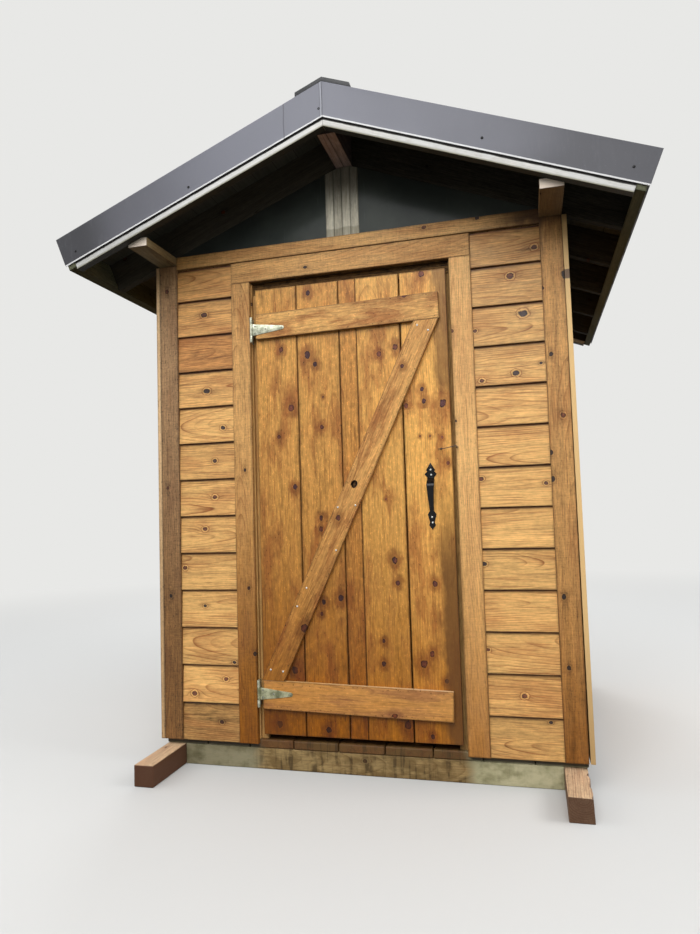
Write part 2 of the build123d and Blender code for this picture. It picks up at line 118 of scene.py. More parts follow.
# Making of boards
weld = 1e-5
flat_angle = math.radians(0.5)
segment_length = 0.2
plank_width = 0.14
knots_per_face = 4
no_knot = (9.0, 9.0, 0.01)
hole_shade_tone = -0.93


def srgb(red, green, blue):
    """Linear colour of 8-bit screen values."""
    def linear(value):
        value /= 255
        return value / 12.92 if value <= 0.04045 else ((value + 0.055) / 1.055) ** 2.4
    return (linear(red), linear(green), linear(blue), 1.0)


def seen_at(pixel, depth):
    """Point of the upright plane at this depth (Y) that the photo shows at a pixel."""
    across = (pixel[0] - photo_width / 2) / photo_focal
    down = (pixel[1] - photo_height / 2) / photo_focal
    ray = look + right * across - up * down
    return eye + ray * ((depth - eye.y) / ray.y)


# Shaders

def arithmetic(operation):
    """Operator that adds a math node for two values."""
    return lambda one, other: one.nodes.math(operation, one, other)


class Value:
    """Output of a node, with the arithmetic that the materials are written in."""

    def __init__(self, nodes, socket):
        self.nodes = nodes
        self.socket = socket

    __add__ = __radd__ = arithmetic("ADD")
    __mul__ = __rmul__ = arithmetic("MULTIPLY")
    __sub__ = arithmetic("SUBTRACT")
    __truediv__ = arithmetic("DIVIDE")
    __pow__ = arithmetic("POWER")
    lesser = arithmetic("MINIMUM")
    greater = arithmetic("MAXIMUM")

    def __rsub__(self, other):
        return self.nodes.math("SUBTRACT", other, self)

    def __abs__(self):
        return self.nodes.math("ABSOLUTE", self)

    def fraction(self):
        return self.nodes.math("FRACT", self)

    def random(self):
        """Random number from 0 to 1 for each whole number."""
        whole = self.nodes.math("FLOOR", self)
        return self.nodes.node("ShaderNodeTexWhiteNoise", {"W": whole}, "Value", noise_dimensions="1D")

    def ramp(self, low, high, at_low=0.0, at_high=1.0):
        """Smooth change from one number to another while the value goes from low to high."""
        inputs = {"Value": self, "From Min": low, "From Max": high, "To Min": at_low, "To Max": at_high}
        return self.nodes.node("ShaderNodeMapRange", inputs, 0, interpolation_type="SMOOTHSTEP")

    def fall(self, low, high, at_low=1.0):
        """Smooth change down to 0 while the value goes from low to high."""
        return self.ramp(low, high, at_low, 0.0)


class Nodes:
    """Node tree, built up by short calls."""

    def __init__(self, tree):
        self.tree = tree

    def put(self, socket, value):
        """Link an output to a socket, or set the socket to a plain value."""
        if isinstance(value, Value):
            self.tree.links.new(value.socket, socket)
        else:
            socket.default_value = value

    def node(self, kind, inputs, output, **settings):
        """Add a node and give one of its outputs."""
        made = self.tree.nodes.new(kind)
        for key, value in settings.items():
            setattr(made, key, value)
        for key, value in inputs.items():
            self.put(made.inputs[key], value)
        return Value(self, made.outputs[output])

    def math(self, operation, a, b=0.0):
        return self.node("ShaderNodeMath", {0: a, 1: b}, 0, operation=operation)

    def vector(self, x, y, z):
        return self.node("ShaderNodeCombineXYZ", {0: x, 1: y, 2: z}, 0)

    def split(self, vector):
        """X, Y and Z of a vector."""
        return [self.node("ShaderNodeSeparateXYZ", {0: vector}, axis) for axis in "XYZ"]

    def seen_directly(self):
        """1 for what the camera sees, also in metal and glass, and 0 for light that falls on the object."""
        kinds = ("Camera", "Glossy", "Transmission")
        camera, glossy, passing = [self.node("ShaderNodeLightPath", {}, f"Is {kind} Ray") for kind in kinds]
        return camera.greater(glossy).greater(passing)

    def end_in(self, output, amount, first, second):
        """Blend of two shaders as the tree's result."""
        blend = self.node("ShaderNodeMixShader", {0: amount, 1: first, 2: second}, 0)
        self.put(self.tree.nodes[output].inputs["Surface"], blend)


class Shader(Nodes):
    """One material, and the colour that its layers of paint build up."""

    def __init__(self, name):
        self.material = bpy.data.materials.new(name)
        self.material.use_nodes = True
        super().__init__(self.material.node_tree)
        self.surface = self.tree.nodes["Principled BSDF"]
        self.colour = None

    def attribute(self, name):
        """X, Y and Z of a vector that the mesh carries."""
        return self.split(self.node("ShaderNodeAttribute", {}, "Vector", attribute_name=name))

    def number(self, name):
        """Single number that the mesh carries."""
        return self.node("ShaderNodeAttribute", {}, "Fac", attribute_name=name)

    def place(self):
        """X, Y and Z on the piece at rest."""
        return self.split(self.node("ShaderNodeTexCoord", {}, "Object"))

    def facing_up(self):
        """Upward part of the surface's direction: 1 on top, -1 below."""
        return self.split(self.node("ShaderNodeTexCoord", {}, "Normal"))[2]

    def noise(self, where, detail=2.0, roughness=0.5):
        inputs = {"Vector": where, "Scale": 1.0, "Detail": detail, "Roughness": roughness}
        return self.node("ShaderNodeTexNoise", inputs, 0)

    def clouds(self, x, y, z, detail=2.0, roughness=0.5):
        """Noise on the piece at rest, with so many changes a metre along X, Y and Z."""
        place = self.node("ShaderNodeTexCoord", {}, "Object")
        where = self.node("ShaderNodeVectorMath", {0: place, 1: (x, y, z)}, 0, operation="MULTIPLY")
        return self.noise(where, detail, roughness)

    def cells(self, where, scale):
        """Distance to the middle of the nearest of many scattered cells."""
        inputs = {"Vector": where, "Scale": scale}
        return self.node("ShaderNodeTexVoronoi", inputs, "Distance", voronoi_dimensions="2D")

    def mix(self, amount, a, b, blend="MIX"):
        """Blend of two colours, by the colour sockets of a node that also has others."""
        inputs = {0: amount, 6: a, 7: b}
        return self.node("ShaderNodeMix", inputs, 2, data_type="RGBA", blend_type=blend)

    def paint(self, amount, *colour, blend="MIX"):
        """Lay a colour over the surface: one colour, or the 8-bit screen values of one."""
        layer = colour[0] if len(colour) == 1 else srgb(*colour)
        self.colour = self.mix(amount, self.colour, layer, blend)

    def scaled(self, colour, amount):
        """Colour made lighter or darker by a factor."""
        return self.node("ShaderNodeVectorMath", {0: colour, "Scale": amount}, 0, operation="SCALE")

    def shade(self, amount):
        """Make the surface lighter or darker by a factor."""
        self.colour = self.scaled(self.colour, amount)

    def bump(self, height, distance, strength=1.0):
        inputs = {"Height": height, "Distance": distance, "Strength": strength}
        self.put(self.surface.inputs["Normal"], self.node("ShaderNodeBump", inputs, 0))

    def finish(self, **sockets):
        """Set the surface's colour and its sockets by name, with _ for a space, and give the material."""
        for name, value in {"Base_Color": self.colour, **sockets}.items():
            self.put(self.surface.inputs[name.replace("_", " ")], value)
        return self.material


def wood(name, light, dark, knot, ring=0.0045, contrast=0.5, stain=0.3, blotch=0.0, warm=0.25, foot_damp_and_shade=0.0,
         saw=0.0, pits=0.0, specks_and_glints=0.0, dashes=0.35, glow=0.15, collar=0.5, lap_shadow_and_dirt=0.0, edge_dirt_and_shade=0.35,
         end_shade=0.65, top_highlight_and_wear=0.0, under=0.42, rough=0.5, gloss=0.3, after=None):
    """Sawn wood whose growth rings bend round its knots, from the grain that each board carries."""
    shader = Shader(name)
    mix = shader.mix
    paint = shader.paint
    light, dark, knot = [srgb(*colour) for colour in (light, dark, knot)]
    u, v, w = shader.attribute("grain")
    su, sv, sw = shader.attribute("shift")
    pith_side, pith_depth, pith_slope = shader.attribute("pith")
    half_length, half_width, half_depth = shader.attribute("half")
    tone = shader.number("tone")
    rust = shader.number("rust")
    end = shader.number("end_grain")

    def streaks(along, across, detail=2.0, roughness=0.5):
        """Noise in board space: so many changes a metre along the grain, and across it."""
        where = shader.vector(u * along + su, v * across + sv, w * across + sw)
        return shader.noise(where, detail, roughness)

    # Growth rings round a pith that runs at a small angle behind the board's face
    sway = streaks(1.6, 3.0, detail=3.0) - 0.5
    sway_fine = streaks(9.0, 16.0) - 0.5
    side = v - pith_side + sway * 0.03 + sway_fine * 0.006
    depth = w + pith_depth + pith_slope * u + sway * 0.03
    rings = (side * side + depth * depth) ** 0.5

    # Knots: rings bow round each one, and grain stays disturbed for a way along the board
    ragged = streaks(80.0, 110.0, detail=3.0) - 0.5
    uneven = streaks(38.0, 46.0) - 0.5
    nearest = None
    trail = None
    for letter in "abcd":
        knot_u, knot_v, radius = shader.attribute(f"knot_{letter}")
        du = (u - knot_u) / radius
        dv = (v - knot_v) / radius
        reach = du * du * 0.07 + dv * dv * 0.3 + 1.0
        rings = rings + radius * 1.6 / (reach * reach)
        apart = (du * du * 0.65 + dv * dv) ** 0.5
        behind = abs(dv + sway_fine * 3.0).fall(0.3, 1.7) * abs(du).fall(1.0, 6.5)
        nearest = apart if nearest is None else nearest.lesser(apart)
        trail = behind if trail is None else trail.greater(behind)
    nearest = nearest + ragged * 0.8 + uneven * 0.9

    # Lines of late wood that fade in and out, broken dark dashes, fine fibre and soft clouds
    phase = rings / ring
    part = phase.fraction()
    showing = streaks(3.0, 14.0).ramp(0.36, 0.62, 0.25, 1.0)
    late = part ** 5.0 * part.fall(0.9, 1.0) * (phase.random() * 0.8 + 0.2) * showing
    fibre = streaks(13.0, 230.0, detail=4.0, roughness=0.7)
    streak = streaks(0.9, 40.0)
    dash = streaks(6.0, 170.0, detail=3.0).ramp(0.55, 0.66)
    cloud = streaks(3.4, 11.0, detail=4.0, roughness=0.62)
    patch = streaks(3.4, 12.0, detail=7.0, roughness=0.7)
    mottle = streaks(42.0, 80.0, detail=4.0, roughness=0.65)

    deep = mix(warm, dark, srgb(140, 62, 30))
    shader.colour = mix((late * contrast * 3.4).lesser(1.0), light, dark)
    paint(cloud.ramp(0.42, 0.70) * stain, deep)
    paint(dash * dashes, deep)
    if blotch:
        paint(patch.ramp(0.48, 0.64) * blotch, deep)
    bright = (fibre - 0.5) * 1.3 + (streak - 0.5) * 0.6 + (cloud - 0.5) * 0.5 + (mottle - 0.5) * 0.6
    bright = bright + tone + 1.0 - trail * (fibre * 0.9 - 0.1) * 0.55

    # Knots themselves: a pale collar with a thin dark line round it, a near-black rim and a ringed heart
    pale = nearest.ramp(1.0, 1.15) * nearest.fall(1.3, 1.6)
    outline = nearest.ramp(1.35, 1.55) * nearest.fall(1.6, 1.95)
    paint((nearest + uneven * 3.0).fall(1.6, 4.2) * glow, deep)
    paint(outline * collar * 0.8, deep)
    paint(pale * collar, light)
    kind = streaks(4.0, 7.0).ramp(0.42, 0.58)
    heart_rings = (nearest * 3.3).fraction().ramp(0.2, 0.9)
    heart = mix(kind, knot, mix(0.45, knot, srgb(150, 82, 44)))
    heart = shader.scaled(heart, ragged * 1.6 + 1.2 - heart_rings * 0.5 - nearest.ramp(0.6, 0.85) * 0.5)
    core = nearest.fall(0.86, 1.1)
    paint(core, heart)

    # Edges darken with dirt and painted shade, undersides take painted shade, end grain differs, and the
    # foot is darker with wetness and painted shade
    to_end = half_length - abs(u)
    to_side = half_width - abs(v)
    to_edge = to_end.lesser(to_side).greater(to_end.greater(to_side).lesser(half_depth - abs(w)))
    # Board edges darkened: dirt and painted shade in the joints
    bright = bright * (to_edge + (cloud - 0.5) * 0.012).ramp(0.0, 0.007, 1.0 - edge_dirt_and_shade, 1.0)
    bright = bright * (end * (end_shade - 1.0) + 1.0)
    upward = shader.facing_up()
    # Pale tops: a painted highlight of the sky on upward faces, partly wear
    if top_highlight_and_wear:
        paint(upward.ramp(0.6, 0.95) * top_highlight_and_wear, 196, 184, 164)
    # Painted shadow, partly dirt, along a siding board's upper edge under the next board's butt
    if lap_shadow_and_dirt:
        paint(1.0 - (half_width - v + (cloud - 0.5) * 0.012).ramp(0.0, lap_shadow_and_dirt), 74, 34, 16)
    if specks_and_glints:
        where = shader.vector(u * 0.6 + su, v + sv, sw)
        pins = (shader.cells(where, 46.0) + ragged * 0.1).fall(0.05, 0.12) * patch.ramp(0.54, 0.6)
        # Bright dots are painted glints of wet spots; the dark pins are real marks
        painted_glints = (shader.cells(where, 88.0) + ragged * 0.2).fall(0.1, 0.2) * mottle.ramp(0.5, 0.58)
        bright = bright - pins * specks_and_glints * 0.6 + painted_glints * specks_and_glints * 0.4 + (mottle - 0.5) * specks_and_glints * 0.5
    if pits:
        row = abs(half_width - abs(v) - 0.010 + (cloud - 0.5) * 0.03).fall(0.003, 0.009)
        dots = (shader.cells(shader.vector(u + su, v + sv, sw), 40.0) + ragged * 0.2).fall(0.05, 0.14)
        bright = bright * (1.0 - row * dots * pits)
    if saw:
        kerf = streaks(260.0, 26.0)
        nicks = streaks(95.0, 170.0, detail=3.0)
        bright = bright + (kerf - 0.5) * saw * 0.5
        bright = bright - nicks.ramp(0.6, 0.68) * saw * 0.35 + nicks.ramp(0.4, 0.32) * saw * 0.2
    # Darker, more saturated foot: wetness and painted shade where the ground gives less light
    if foot_damp_and_shade:
        side_place, _, height = shader.place()
        wet_and_shaded = (height + side_place * 0.3 + (cloud - 0.5) * 0.8).fall(0.0, 1.45, foot_damp_and_shade)
        paint(wet_and_shaded, (0.46, 0.29, 0.05, 1.0), blend="MULTIPLY")
    paint(rust, (0.97, 0.77, 0.66, 1.0), blend="MULTIPLY")
    paint(rust * (core - 1.0), 226, 202, 160)
    shader.shade(bright)
    if after:
        after(shader)
    # Painted shade on faces that point down, as strong as the under setting
    shader.shade(upward.ramp(-0.9, -0.3, under, 1.0))

    relief = fibre * 0.6 - late * 0.5 - dash * 0.4 + nearest.ramp(0.8, 1.1) * 0.4
    if saw:
        relief = relief + kerf * saw
    shader.bump(relief, 0.0007, 0.8)
    roughness = (cloud - 0.5) * 0.3 + (fibre - 0.5) * 0.3 + rough
    return shader.finish(Roughness=roughness, Specular_IOR_Level=gloss)


def plain_wood(name, light, dark, along):
    """Wood of the frame's own solids: streaks along one axis (0, 1 or 2), and joints each plank width."""
    shader = Shader(name)
    axes = shader.place()
    stretch = [90.0, 90.0, 90.0]
    stretch[along] = 3.0
    streak = shader.clouds(*stretch, detail=3.0, roughness=0.6)
    cloud = shader.clouds(5, 5, 5, detail=3.0)
    shader.colour = shader.mix(streak.ramp(0.35, 0.7), srgb(*light), srgb(*dark))
    plank = (axes[0 if along else 1] + axes[1 if along == 2 else 2]) / plank_width
    bright = (cloud - 0.5) * 0.5 + 1.0 + plank.random() * 0.2
    shader.shade(bright * abs(plank.fraction() - 0.5).ramp(0.485, 0.497, 1.0, 0.25))
    shader.bump(streak, 0.0006, 0.6)
    return shader.finish(Roughness=0.75, Specular_IOR_Level=0.08)


def metal(name, light, dark, metallic, rough, scale, relief, fine=0.0, gloss=0.5):
    """Metal with cloudy patches at one scale and a fine grain."""
    shader = Shader(name)
    patch = shader.clouds(scale, scale, scale, detail=4.0, roughness=0.6)
    fine_scale = scale * 14
    grain = shader.clouds(fine_scale, fine_scale, fine_scale)
    shader.colour = shader.mix(patch.ramp(0.3, 0.7), srgb(*light), srgb(*dark))
    shader.bump(patch + grain * fine, relief)
    return shader.finish(Metallic=metallic, Roughness=(grain - 0.5) * 0.2 + rough, Specular_IOR_Level=gloss)


def painted_sheet(name, light, dark, hem=0.0):
    """Coated roof metal: satin, gently uneven and dusty; on the rake darker towards its ends by painted
    reflection, with a pale hem that is painted highlight and partly wear, and with painted highlights and
    shadows at its joints.
    """
    shader = Shader(name)
    x, _, z = shader.place()
    wave = shader.clouds(1.7, 1.7, 1.7)
    cloud = shader.clouds(1.9, 1.9, 3.0, detail=1.0)
    dust = shader.clouds(34, 34, 9, detail=4.0, roughness=0.7)
    speck = shader.clouds(230, 230, 230, detail=1.0)
    # On the rake the colour darkens towards both ends: painted reflection
    spread = abs(x + 0.1) * 0.56 if hem else 0.25
    shader.colour = shader.mix((cloud * 0.4 + spread).ramp(0.24, 0.84), srgb(*light), srgb(*dark))
    if hem:
        wavy = x + (cloud - 0.5) * 0.5
        shader.shade(wavy.ramp(-1.12, -0.86, 0.42, 1.0))
        shader.shade(wavy.ramp(0.75, 1.0, 1.0, 0.8))
    shader.paint(dust.ramp(0.5, 0.85) * 0.2, 116, 116, 120)
    shader.paint(speck.ramp(0.7, 0.8) * 0.2, 140, 142, 148)
    if hem:
        above = over_rafters(x, z) - rake_bottom
        # The pale hem is a painted highlight of the sky on the kicked-out hem, partly wear
        worn = (above + (dust - 0.5) * 0.002).fall(hem * 0.55, hem * 0.8)
        shader.paint(worn * 0.8, 226, 225, 224)
        # Painted highlight on the folded edge at the peak, and painted shadow lines in the joints between
        # lengths
        wander = (shader.clouds(0, 1, 9) - 0.5) * 0.01
        fold_highlight = abs(x + seam_reach / 2 + wander).fall(0.0015, 0.0035)
        shader.paint(fold_highlight * 0.3, 190, 192, 198)
        for joint, depth in ((-seam_reach, 0.25), (0.001, 0.3), (-lap_at, 0.7)):
            joint_shadow = abs(x - joint + wander).fall(0.0012, 0.003)
            shader.paint(joint_shadow * depth, 58, 58, 62)
    shader.bump(wave * 6.0 + dust * 0.15, 0.002, 0.35)
    return shader.finish(Roughness=dust * 0.2 + 0.34, Specular_IOR_Level=0.3)


def over_rafters(x, z):
    """Height above the rafters' underside, square to the roof."""
    return (z + abs(x) * roof_slope - rafter_peak) * math.cos(pitch)


def dark_glass():
    """Clear pane in front of a dark attic, drawn opaque: its nearly black colour is painted shade of the
    attic behind it. Glossy, dusty and marked by old drops.
    """
    shader = Shader("pane_glass")
    dust = shader.clouds(3, 3, 3, detail=4.0, roughness=0.6)
    runs = shader.clouds(130, 1, 5)
    shader.colour = shader.mix(dust.ramp(0.3, 0.8), srgb(54, 59, 56), srgb(76, 80, 75))
    shader.paint(runs.ramp(0.66, 0.78) * 0.3, 104, 108, 106)
    return shader.finish(Roughness=dust * 0.14 + 0.08, Specular_IOR_Level=0.06)


# Weathering, and painted light and shade, that some woods have on top

def splashed_base(shader):
    """Pale green weathering beside the doorway, and brown run-off with dark drips below it."""
    x, y, _ = shader.place()
    drips = shader.clouds(55, 3, 5, detail=3.0, roughness=0.6)
    moss = shader.clouds(9, 9, 14, detail=4.0, roughness=0.65)
    beside = (abs(x + 0.005) + (moss - 0.5) * 0.16).ramp(0.42, 0.50)
    front = y.fall(-0.875, -0.865)
    pale = shader.mix(moss.ramp(0.38, 0.72), srgb(186, 179, 144), srgb(128, 126, 92))
    pale = shader.scaled(pale, (x + (moss - 0.5) * 0.3).ramp(-0.9, 0.6, 0.52, 1.22))
    shader.paint(beside * front * 0.85, pale)
    soaked = (moss + x * 0.12).ramp(0.4, 0.62) * front * (1.0 - beside)
    shader.paint(soaked * 0.7, 98, 74, 38)
    streaks_down = drips.ramp(0.5, 0.62) * moss.ramp(0.35, 0.6) * front
    shader.paint(streaks_down * (1.0 - beside * 0.85) * 0.65, 50, 36, 18)


def shaded_base(shader):
    """Weathering of the rim and the planks' ends, and a painted shadow line under the siding's lower edge.
    """
    splashed_base(shader)
    x, _, z = shader.place()
    # Painted shadow under the siding's lower edge, outside the doorway
    shader.paint(z.ramp(0.088, 0.098, 0.0, 0.9) * abs(x).ramp(0.45, 0.47), 40, 30, 22)


def worn_latch_side(shader):
    """Strip of the door's latch edge that rain has darkened, above and below the hook, and a browner
    lower left corner."""
    x, _, z = shader.place()
    cloud = shader.clouds(12, 0, 4, detail=4.0, roughness=0.65)
    strip = (x + (cloud - 0.5) * 0.13).ramp(0.345, 0.395)
    wavy = z + (cloud - 0.5) * 0.2
    stretch = wavy.ramp(1.54, 1.66, 0.0, 0.8) + wavy.fall(0.85, 1.28)
    shader.paint((x + z * 0.25 + (cloud - 0.5) * 0.2).fall(-0.36, -0.12, 0.28), 112, 66, 22)
    shader.paint(strip * stretch * 0.85, 98, 62, 28)


def shaded_and_stained_ends(shader):
    """Painted shade, partly water stain, by the roof's right plate, a stain at the right corner's foot, and
    a paler cut edge that is darker towards its foot.
    """
    x, y, z = shader.place()
    cloud = shader.clouds(20, 0, 8, detail=3.0)
    wavy = z + (cloud - 0.5) * 0.07
    stain = wavy.ramp(2.25, 2.3, 0.0, 0.55) + wavy.ramp(2.13, 2.3, 0.0, 0.45) + wavy.fall(0.12, 0.5, 0.2)
    shade_and_stain = (x + (cloud - 0.5) * 0.06).ramp(0.56, 0.79) * stain
    cut_edge = y.fall(trim_face + 0.0006, trim_face + 0.0012)
    cut_edge = x.ramp(side_board_start - 0.0004, side_board_start) * cut_edge
    edge_knot = abs(z + cloud * 0.01 - edge_knot_height).fall(0.017, 0.021)
    pale = shader.scaled(srgb(232, 194, 134)[:3], z.ramp(0.05, 0.8, 0.7, 1.0))
    pale = shader.mix(edge_knot * 0.8, pale, srgb(74, 52, 56))
    # Painted shade under the right plate, partly water stain, and a stain at the foot
    shader.paint(shade_and_stain * 0.92, 50, 29, 14)
    shader.paint(cut_edge * (1.0 - shade_and_stain * 0.5) * 0.85, pale)


def pale_lit_ends(shader):
    """Ends of the roof's plates painted pale: painted light on end faces that lie in the overhang's shade,
    and partly paler weathered end grain.
    """
    y = shader.place()[1]
    shader.paint(abs(y).ramp(plate_end - 0.003, plate_end - 0.001, 0.0, 0.9), 250, 234, 216)


def post_shade_and_foot_band(shader):
    """Painted shade towards the post's top, under the roof, and a darker band round its foot."""
    z = shader.place()[2]
    cloud = shader.clouds(20, 0, 12, detail=3.0)
    # Painted shade, darker towards the top
    shader.shade((z + (cloud - 0.5) * 0.1).ramp(2.38, 2.62, 1.0, 0.4))
    shader.paint((z + (cloud - 0.5) * 0.02).fall(2.374, 2.384, 0.45), 92, 86, 64)


def shaded_sides(shader):
    """Painted shade on the sides, darker than the underside."""
    shader.shade(shader.facing_up().ramp(-0.9, -0.5, 1.0, 0.25))


def muddy_shaded_sides(shader):
    """Sides darker than the paler top: partly muddy dirt and partly painted shade."""
    mud_and_shade = shader.place()[0].ramp(-0.5, 0.5, 0.95, 0.75)
    shader.paint(shader.facing_up().fall(0.5, 0.9) * mud_and_shade, 80, 48, 30)


def chalky(shader):
    """Thin worn white paint over the wood, grimy along its lower edge, darker towards its left end, and with
    a painted shadow under the rake trim.
    """
    x, _, z = shader.place()
    worn = shader.clouds(14, 60, 14, detail=4.0, roughness=0.7)
    shader.paint(worn.ramp(0.3, 0.6, 0.9, 0.35), 204, 204, 202)
    above = over_rafters(x, z) + (worn - 0.5) * 0.006
    shader.paint(above.fall(0.0, 0.011, 0.75), 112, 106, 70)
    shader.shade((x + (worn - 0.5) * 0.4).ramp(-1.0, -0.5, 0.8, 1.0))
    # Painted shadow under the rake trim's hem
    shader.paint(above.ramp(rake_bottom - 0.010, rake_bottom - 0.006), 34, 32, 30)


# Boards

def mesh_of(made, name):
    """Mesh data of a bmesh, which is freed."""
    mesh = bpy.data.meshes.new(name)
    made.to_mesh(mesh)
    made.free()
    return mesh


def add_object(name, data, material=None):
    """Put data into the scene under a name, a mesh with its one material."""
    if material:
        data.materials.append(material)
    made = bpy.data.objects.new(name, data)
    bpy.context.scene.collection.objects.link(made)
    return made


def span(board, axis):
    """Lowest and highest place of a board's corners along an axis."""
    places = [vert.co.dot(axis) for vert in board.verts]
    return min(places), max(places)


def width_of(board):
    """Extent of a board across the front."""
    low, high = span(board, x_axis)
    return high - low


def middle_of(board):
    """Middle of a board across the front."""
    return sum(span(board, x_axis)) / 2


def slice_board(board, point, normal):
    """Cut a board's faces along a plane."""
    geometry = board.verts[:] + board.edges[:] + board.faces[:]
    bmesh.ops.bisect_plane(board, geom=geometry, plane_co=point, plane_no=normal, dist=weld)


class Timber:
    """Boards gathered into one mesh, each with its own grain, knots and tone for the wood's shader."""

    def __init__(self, name):
        self.name = name
        self.points = []
        self.faces = []
        self.carried = {"grain": []}
        self.count = 0

    def add(self, board, tone=0.0, rust=0.0, knots=(), density=2.0, along=None, out=None, hole=None):
        """Take one board in, with knots at given points and others at random, so many to the metre.

        Tone makes it lighter or darker, and rust redder, or paler where it is below 0.
        """
        self.count += 1
        pick = random.Random(f"{self.name} {self.count}")
        along = along or longest_axis(board)
        out = out or widest_normal(board, along)
        axes = (along, out.cross(along).normalized(), out)
        places = np.array([[vert.co.dot(axis) for axis in axes] for vert in board.verts])
        low = places.min(0)
        high = places.max(0)
        middle = (low + high) / 2
        half = (high - low) / 2

        # Cuts across the board's length, so that each face can carry the knots near it
        count = max(1, round((high[0] - low[0]) / segment_length))
        for index in range(1, count):
            slice_board(board, along * (low[0] + (high[0] - low[0]) * index / count), along)
        board.normal_update()

        def in_board(point):
            return [point.dot(axis) - place for axis, place in zip(axes, middle)]

        local_knots = []
        for point, radius in knots:
            u, v, w = in_board(point)
            if abs(u) < half[0] and abs(v) < half[1] + radius * 0.3 and abs(w) < half[2] + 0.01:
                local_knots.append((u, v, radius))
        for _ in range(round(density * 2 * half[0] * pick.uniform(0.4, 1.6))):
            where = (pick.uniform(-half[0], half[0]), pick.uniform(-half[1], half[1]))
            local_knots.append((*where, pick.uniform(0.004, 0.010)))
        shift = [pick.uniform(0, 40) for _ in range(3)]
        side = pick.choice((-1, 1)) * pick.uniform(0.0, 0.10)
        pith = (side, pick.uniform(0.03, 0.10), pick.choice((-1, 1)) * pick.uniform(0.03, 0.10))

        start = len(self.points)
        board.verts.index_update()
        for vert in board.verts:
            self.points.append(vert.co.copy())
            self.carried["grain"].append(in_board(vert.co))
        for face in board.faces:
            self.faces.append([start + vert.index for vert in face.verts])
            centre = face.calc_center_median()
            u, v, _ = in_board(centre)
            near = sorted(local_knots, key=lambda k: math.hypot(k[0] - u, k[1] - v) - 3 * k[2])
            near = (near + [no_knot] * knots_per_face)[:knots_per_face]
            rows = {f"knot_{letter}": knot for letter, knot in zip("abcd", near)}
            rows |= {"shift": shift, "pith": pith, "half": half, "rust": rust}
            # Faces inside the knothole take a near-black tone: painted shade in the hole
            rows["tone"] = hole_shade_tone if hole and inside_hole(centre, hole) else tone
            rows["end_grain"] = 1.0 if abs(face.normal.dot(along)) > 0.75 else 0.0
            for key, row in rows.items():
                self.carried.setdefault(key, []).append(row)
        board.free()

    def finish(self, material):
        """Make the mesh with all that its boards carry."""
        mesh = bpy.data.meshes.new(self.name)
        mesh.from_pydata(self.points, [], self.faces)
        for key, rows in self.carried.items():
            rows = np.array(rows, dtype=np.float32)
            kind, field = ("FLOAT_VECTOR", "vector") if rows.ndim == 2 else ("FLOAT", "value")
            layer = mesh.attributes.new(key, kind, "POINT" if key == "grain" else "FACE")
            layer.data.foreach_set(field, rows.ravel())
        return add_object(self.name, mesh, material)


def inside_hole(point, hole):
    """Whether a point lies in a hole, given by the middle of its mouth, its radius and its depth along Y."""
    mouth, radius, depth = hole
    beside = math.hypot(point.x - mouth.x, point.z - mouth.z)
    return beside < radius and weld < point.y - mouth.y < depth


def longest_axis(board):
    """Direction in which the board's corners spread the most."""
    corners = np.array([vert.co for vert in board.verts])
    values, axes = np.linalg.eigh(np.cov((corners - corners.mean(0)).T))
    axis = Vector(axes[:, int(np.argmax(values))])
    largest = max(range(3), key=lambda i: abs(axis[i]))
    return axis if axis[largest] > 0 else -axis


def widest_normal(board, along):
    """Direction of the board's largest face that lies along it, square to its length."""
    board.normal_update()
    lengthwise = [face for face in board.faces if abs(face.normal.dot(along)) < 0.5]
    widest = max(lengthwise, key=lambda face: round(face.calc_area(), 6))
    return (widest.normal - along * widest.normal.dot(along)).normalized()


def solids_of(node):
    """Each solid of a frame node as a mesh of its own, with whole flat faces."""
    whole = bmesh.new()
    whole.from_mesh(frame["nodes"][node].data)
    bmesh.ops.remove_doubles(whole, verts=whole.verts, dist=weld)
    bmesh.ops.dissolve_limit(whole, angle_limit=flat_angle, verts=whole.verts, edges=whole.edges)
    done = set()
    solids = []
    for first in whole.verts:
        if first in done:
            continue
        done.add(first)
        group = [first]
        for vert in group:
            others = [edge.other_vert(vert) for edge in vert.link_edges]
            fresh = [other for other in others if other not in done]
            done.update(fresh)
            group += fresh
        solid = bmesh.new()
        copies = {vert: solid.verts.new(vert.co) for vert in group}
        for face in whole.faces:
            if face.verts[0] in copies:
                solid.faces.new([copies[vert] for vert in face.verts])
        solid.normal_update()
        solids.append(solid)
    whole.free()
    return solids


def ease_edges(board, width, sharper_than=20):
    """Round a board's edges a little."""
    sharp = [edge for edge in board.edges if edge.calc_face_angle(0) > math.radians(sharper_than)]
    bmesh.ops.bevel(
        board, geom=sharp, offset=width, segments=2, profile=0.5, affect="EDGES", clamp_overlap=True,
    )


def loft(rings):
    """Closed mesh through rings of as many points each, with a cap at both ends."""
    made = bmesh.new()
    rows = [[made.verts.new(point) for point in ring] for ring in rings]
    for near, far in zip(rows, rows[1:]):
        for index in range(len(near)):
            after = (index + 1) % len(near)
            made.faces.new((near[index], near[after], far[after], far[index]))
    made.faces.new(rows[0])
    made.faces.new(rows[-1])
    bmesh.ops.recalc_face_normals(made, faces=made.faces)
    return made


def joined(name, parts, material):
    """Many small meshes as one object."""
    whole = bmesh.new()
    for part in parts:
        mesh = mesh_of(part, "part")
        whole.from_mesh(mesh)
        bpy.data.meshes.remove(mesh)
    return add_object(name, mesh_of(whole, name), material)


def stand_for(piece, node):
    """The piece takes a node's place and body."""
    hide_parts(node)
    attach(piece, frame["nodes"][node]["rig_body"])


